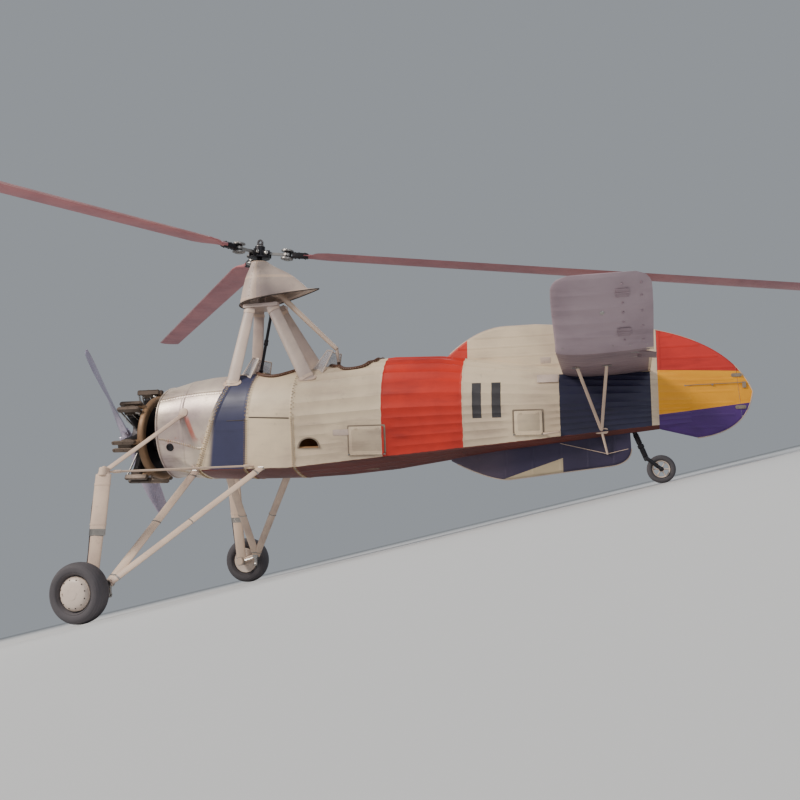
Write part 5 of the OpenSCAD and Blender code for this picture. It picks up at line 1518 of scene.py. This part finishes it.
RIM_HALF = 0.05075  # half width between the tyre's beads
for s, word in zip(SIDES, ("left", "right")):
    wheel_body = word + "_wheel"
    apex, boss = Vector((-.565, s * 1.209, -.361)), Vector((-.588, s * 1.389, -1.345))
    hub_at = Vector((-.588, s * 1.544, -1.345))
    joint = Vector((-.765, s * 1.399, -1.283))
    d = (boss - apex).normalized()
    start, end = apex + d * 0.02, boss - d * 0.040
    leg = Shape()
    leg.strut(start, apex.lerp(boss, 0.50), 0.150, 0.056, 0.150, 0.056)
    leg.strut(apex.lerp(boss, 0.53), end, 0.122, 0.050, 0.112, 0.048)
    leg.strut(apex - d * 0.005, apex + d * 0.06, 0.10, 0.052, 0.145, 0.055)
    leg.lathe([(0.038, -0.037), (0.044, -0.031), (0.044, 0.031), (0.038, 0.037)], facing(apex, d), 32)
    leg.lathe([(0.020, 0.036), (0.020, 0.046), (0.012, 0.050)], frame_along(apex, apex - d), 6)
    leg.strut(boss - d * 0.075, boss - d * 0.02, 0.112, 0.048, 0.090, 0.060)
    leg.lathe([(0.036, -0.058), (0.042, -0.052), (0.042, 0.050), (0.050, 0.052), (0.050, 0.064),
        (0.040, 0.066)], facing(boss, (0, s, 0)), 32)
    for t in (0.10, 0.44):
        p = apex.lerp(boss, t)
        leg.strut(p, p + d * 0.018, 0.156, 0.062)
    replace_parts(piece(leg, word + "_shock_fairing", STRUT), word + "_shock_leg")
    boot = Shape()
    for i in range(5):
        p = apex.lerp(boss, 0.492 + 0.011 * i)
        boot.strut(p, p + d * 0.009, 0.158, 0.064, 0.152, 0.058)
    boot.strut(apex.lerp(boss, 0.49), apex.lerp(boss, 0.55), 0.140, 0.050)
    piece(boot, word + "_shock_boot", STEEL)
    arms, ends = Shape(), Shape()
    front, rear = Vector((-.954, s * .309, -.338)), Vector((-1.646, s * .322, -.320))
    for top, chord, thick in ((front, 0.092, 0.034), (rear, 0.076, 0.032)):
        arms.strut(joint, top, chord, thick, chord * 0.94, thick)
        u = (top - joint).normalized()
        for p, w in ((joint + u * 0.075, 0.014), (top - u * 0.10, 0.014), (joint.lerp(top, 0.5), 0.010)):
            ends.strut(p, p + u * w, chord + 0.007, thick + 0.007)
        ends.lathe([(0.018, -0.03), (0.022, -0.026), (0.022, 0.026), (0.018, 0.03)],
            facing(top - u * 0.02, (1, 0, 0), (0, 0, 1)), 20)
    arms.strut(boss + Vector((-0.03, 0, 0.01)), joint + (joint - boss).normalized() * 0.03, 0.060, 0.046, 0.05,
        0.04, fore=(0, 0, 1))
    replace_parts(piece(arms, word + "_axle_stays", STRUT), word + "_gear_stays")
    piece(ends, word + "_stay_clamps", STEEL)
    upper = Shape()
    high = Vector((-.855, s * .350, .206))
    upper.strut(apex, high, 0.060, 0.026, 0.056, 0.026)
    for top in (front + Vector((.04, 0, .01)), rear + Vector((.05, 0, .01))):
        upper.tube([apex, top], 0.009, 10)
        u = (top - apex).normalized()
        for p in (apex + u * 0.09, top - u * 0.14):
            upper.lathe([(0.008, 0), (0.014, 0.006), (0.014, 0.05), (0.008, 0.056)], facing(p, u, (0, 0, 1)),
                12)
    p = apex.lerp(high, 0.93)
    upper.strut(p, p.lerp(high, 0.3), 0.068, 0.034)
    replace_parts(piece(upper, word + "_upper_stays", STRUT), word + "_upper_struts")
    pipe = Shape().tube([apex + Vector((0.05, s * 0.02, -0.05)),
        apex.lerp(boss, 0.3) + Vector((0.078, s * 0.004, 0)), apex.lerp(boss, 0.7) + Vector((0.066, 0, 0)),
        boss + Vector((0.062, s * 0.01, 0.03)), boss + Vector((0.045, s * 0.06, 0.01))], 0.005, 8)
    piece(pipe, word + "_brake_pipe", RUBBER)

    out = facing(hub_at, (0, s, 0))
    w = RIM_HALF
    disc = Shape().lathe([(.0203, -.075), (.046, -.075), (.048, -.072), (.052, -.060), (.062, -w + .004),
        (.128, -w - .004), (.132, -w - .006), (.138, -w - .004), (.1398, -w), (.1398, w - .002),
        (.132, w + .008), (.123, w + .022), (.118, w + .031), (.110, w + .037), (.092, w + .043),
        (.070, w + .048), (.040, w + .052), (.0, w + .0535)], out, 72, False)
    disc.lathe([(.134, w + .006), (.1375, w + .007), (.1385, w + .003)], out, 72, False)
    disc.lathe([(.048, w + .0505), (.046, w + .053), (.043, w + .0535), (.0, w + .0545)], out, 48, False)
    for a in angles(8, 0.5):
        disc.stud(out @ Vector((.126 * cos(a), .126 * sin(a), w + .016)),
            swung(out, .5 * cos(a), .5 * sin(a), 0.86), .0055, .004, 6)
    disc.stud(out @ Vector((.092, 0, w + .042)), (0, s, 0), .008, .016, 8)
    caps = Shape()
    for a in angles(12, 0.5):
        caps.stud(out @ Vector((.1145 * cos(a), .1145 * sin(a), w + .034)),
            swung(out, .35 * cos(a), .35 * sin(a), 0.93), .006, .004, 6)
    piece(caps, word + "_cap_screws", DARK, wheel_body)
    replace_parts(piece(disc, word + "_wheel_disc", HUB, wheel_body, 30), word + "_wheel")
    tread = []
    for i, a in enumerate(angles(56)):
        r = .195 + .0545 * boxy(cos(a), 0.85)
        if cos(a) > 0.45 and i % 3 == 0:
            r -= 0.0035
        tread.append((r, .0865 * boxy(sin(a), 0.8)))
    tyre = Shape().band(tread, out, 96)
    for r, h in ((.205, .0862), (.165, .0815)):
        for q in (1, -1):
            tyre.band([(r - .003, q * (h - .004)), (r, q * h), (r + .003, q * (h - .004)),
                (r, q * (h - .008))], out, 96)
    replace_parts(piece(tyre, word + "_tyre_tread", RUBBER, wheel_body, 42), word + "_tyre")

# ---- tail wheel

root, toe = Vector((-4.962, 0, -.060)), Vector((-5.068, 0, -.330))
axle = Vector((-5.179, 0, -.404))
leg = Shape().tube([root, root.lerp(toe, 0.5)], 0.019, 24)
leg.lathe([(0.020, -0.012), (0.027, -0.008), (0.027, 0.018), (0.022, 0.022)],
    frame_along(root.lerp(toe, 0.53), toe), 24)
for i in range(6):
    leg.lathe([(0.020, 0), (0.0255, 0.008), (0.020, 0.016)], frame_along(root.lerp(toe, 0.16 + 0.05 * i), toe),
        24)
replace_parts(piece(leg, "tail_leg", DARK), "tailwheel_leg")
fork = Shape()
knee = root.lerp(toe, 0.92)
fork.tube([root.lerp(toe, 0.60), root.lerp(toe, 0.66), root.lerp(toe, 0.97), toe],
    [0.021, 0.023, 0.022, 0.016], 24)
for s in SIDES:
    hip = Vector((-5.066, s * .058, -.312))
    foot = Vector((axle.x, s * .058, axle.z))
    fork.tube([knee, knee.lerp(hip, 0.6), hip, hip.lerp(foot, 0.12), hip.lerp(foot, 0.5), foot],
        [0.018, 0.017, 0.016, 0.016, 0.0155, 0.0155], 16)
    fork.lathe([(0.020, -0.010), (0.020, 0.010), (0.012, 0.012), (0.012, 0.019), (0.008, 0.021)],
        facing(foot, (0, s, 0)), 20)
fork.lathe([(0.009, -0.058), (0.009, 0.058)], facing(axle, (0, 1, 0)), 16)
fork.lathe([(0.008, 0.034), (0.008, 0.078), (0.005, 0.080)],
    frame_along(Vector((toe.x, 0, toe.z + 0.02)), Vector((toe.x, -1, toe.z + 0.02))), 14)
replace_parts(piece(fork, "tail_fork_tubes", DARK, "tail_fork"), "tailwheel_fork")
out = facing(axle, (0, 1, 0))
rim = Shape().band([(.0095, -.028), (.020, -.028), (.023, -.010), (.024, .010), (.020, .028), (.0095, .028)],
    out, 40)
rim.band([(.066, -.024), (.072, -.026), (.072, .026), (.066, .024), (.062, .008), (.062, -.008)], out, 64)
for a in angles(6):
    ends = [(r * cos(a), r * sin(a), 0) for r in (.020, .065)]
    rim.strut(*ends, 0.022, 0.012, 0.018, 0.011, place=out @ frame_along(*ends, (0, 0, 1)))
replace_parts(piece(rim, "tail_rim", HUB, "tail_wheel"), "tail_wheel")
tread = []
for i, a in enumerate(angles(40)):
    r = .0955 + .0240 * boxy(cos(a), 0.9)
    tread.append((r - (0.0018 if cos(a) > 0.5 and i % 3 == 0 else 0), .0305 * boxy(sin(a), 0.8)))
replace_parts(piece(Shape().band(tread, out, 72), "tail_tyre_tread", RUBBER, "tail_wheel", 42),
    "tail_tyre")

# ---- the rest of the frame

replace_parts(bpy.data.objects["cowl_skin"], "nose_cowl")
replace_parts(bpy.data.objects["front_cloth"], "front_fuselage")
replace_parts(bpy.data.objects["rear_cloth"], "mid_fuselage", "rear_fuselage")
BRIGHT_NODES = ("blade_link_1", "blade_link_2", "blade_link_3", "left_axle", "right_axle", "door_hinges")
DARK_NODES = ("head_gimbal", "rotor_head", "rotor_hub")
for node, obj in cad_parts.items():
    look = STEEL if node in BRIGHT_NODES else DARK if node in DARK_NODES else PYLON
    for place in obj.material_slots:
        place.material = look.material

# ---- stage, light and camera

floor = bpy.data.objects.new("floor", bpy.data.meshes.new("floor"))
floor.data.from_pydata([(x * FLOOR_HALF, y * FLOOR_HALF, FLOOR_Z)
    for x, y in ((-1, -1), (1, -1), (1, 1), (-1, 1))], [], [(0, 1, 2, 3)])
bpy.context.scene.collection.objects.link(floor)
paving = worn("pale_floor", (203, 204, 205), (190, 191, 193), 0.85, grain=2, depth=0.0005, grime=0.02)
floor.data.materials.append(paving.material)
world = bpy.data.worlds.new("pale_sky")
world.use_nodes = True
world.node_tree.nodes["Background"].inputs["Color"].default_value = (0.80, 0.86, 0.93, 1.0)
world.node_tree.nodes["Background"].inputs["Strength"].default_value = 0.38
bpy.context.scene.world = world
WARM, COOL = (1.0, 0.93, 0.84), (0.93, 0.96, 1.0)
for name, place, aim, size, power, colour in (
        ("key", (6.5, 9.0, 9.0), (-0.5, 0, -1.5), 5.0, 2500, WARM),
        ("fill", (-9.0, 9.0, 3.0), (-2.0, 0, -1.5), 8.0, 260, COOL),
        ("rim", (-5.0, -10.0, 7.0), (-1.5, 0, -1.0), 7.0, 420, COOL)):
    lamp = bpy.data.lights.new(name, "AREA")
    lamp.shape, lamp.size, lamp.energy, lamp.color = "DISK", size, power, colour
    light = bpy.data.objects.new(name, lamp)
    light.matrix_world = Matrix.Translation(place) @ (
        Vector(aim) - Vector(place)).to_track_quat("-Z", "Y").to_matrix().to_4x4()
    bpy.context.scene.collection.objects.link(light)

CAMERA_AT, CAMERA_TURN, LENS, FILM = (-2.948, 7.665, -3.167), (-75.812, 9.042, -13.627), 38.74, 36.0
azimuth, elevation, roll = (radians(v) for v in CAMERA_TURN)
d = Vector((cos(elevation) * cos(azimuth), cos(elevation) * sin(azimuth), sin(elevation)))
side = d.cross(Vector((0, 0, 1))).normalized()
rise = side.cross(d)
right, up = side * cos(roll) + rise * sin(roll), rise * cos(roll) - side * sin(roll)
camera = bpy.data.objects.new("camera", bpy.data.cameras.new("camera"))
camera.data.lens, camera.data.sensor_width = LENS, FILM
camera.data.clip_start, camera.data.clip_end = 0.05, 300
camera.matrix_world = Matrix([(right[i], up[i], -d[i], CAMERA_AT[i]) for i in range(3)] + [(0, 0, 0, 1)])
bpy.context.scene.collection.objects.link(camera)
bpy.context.scene.camera = camera
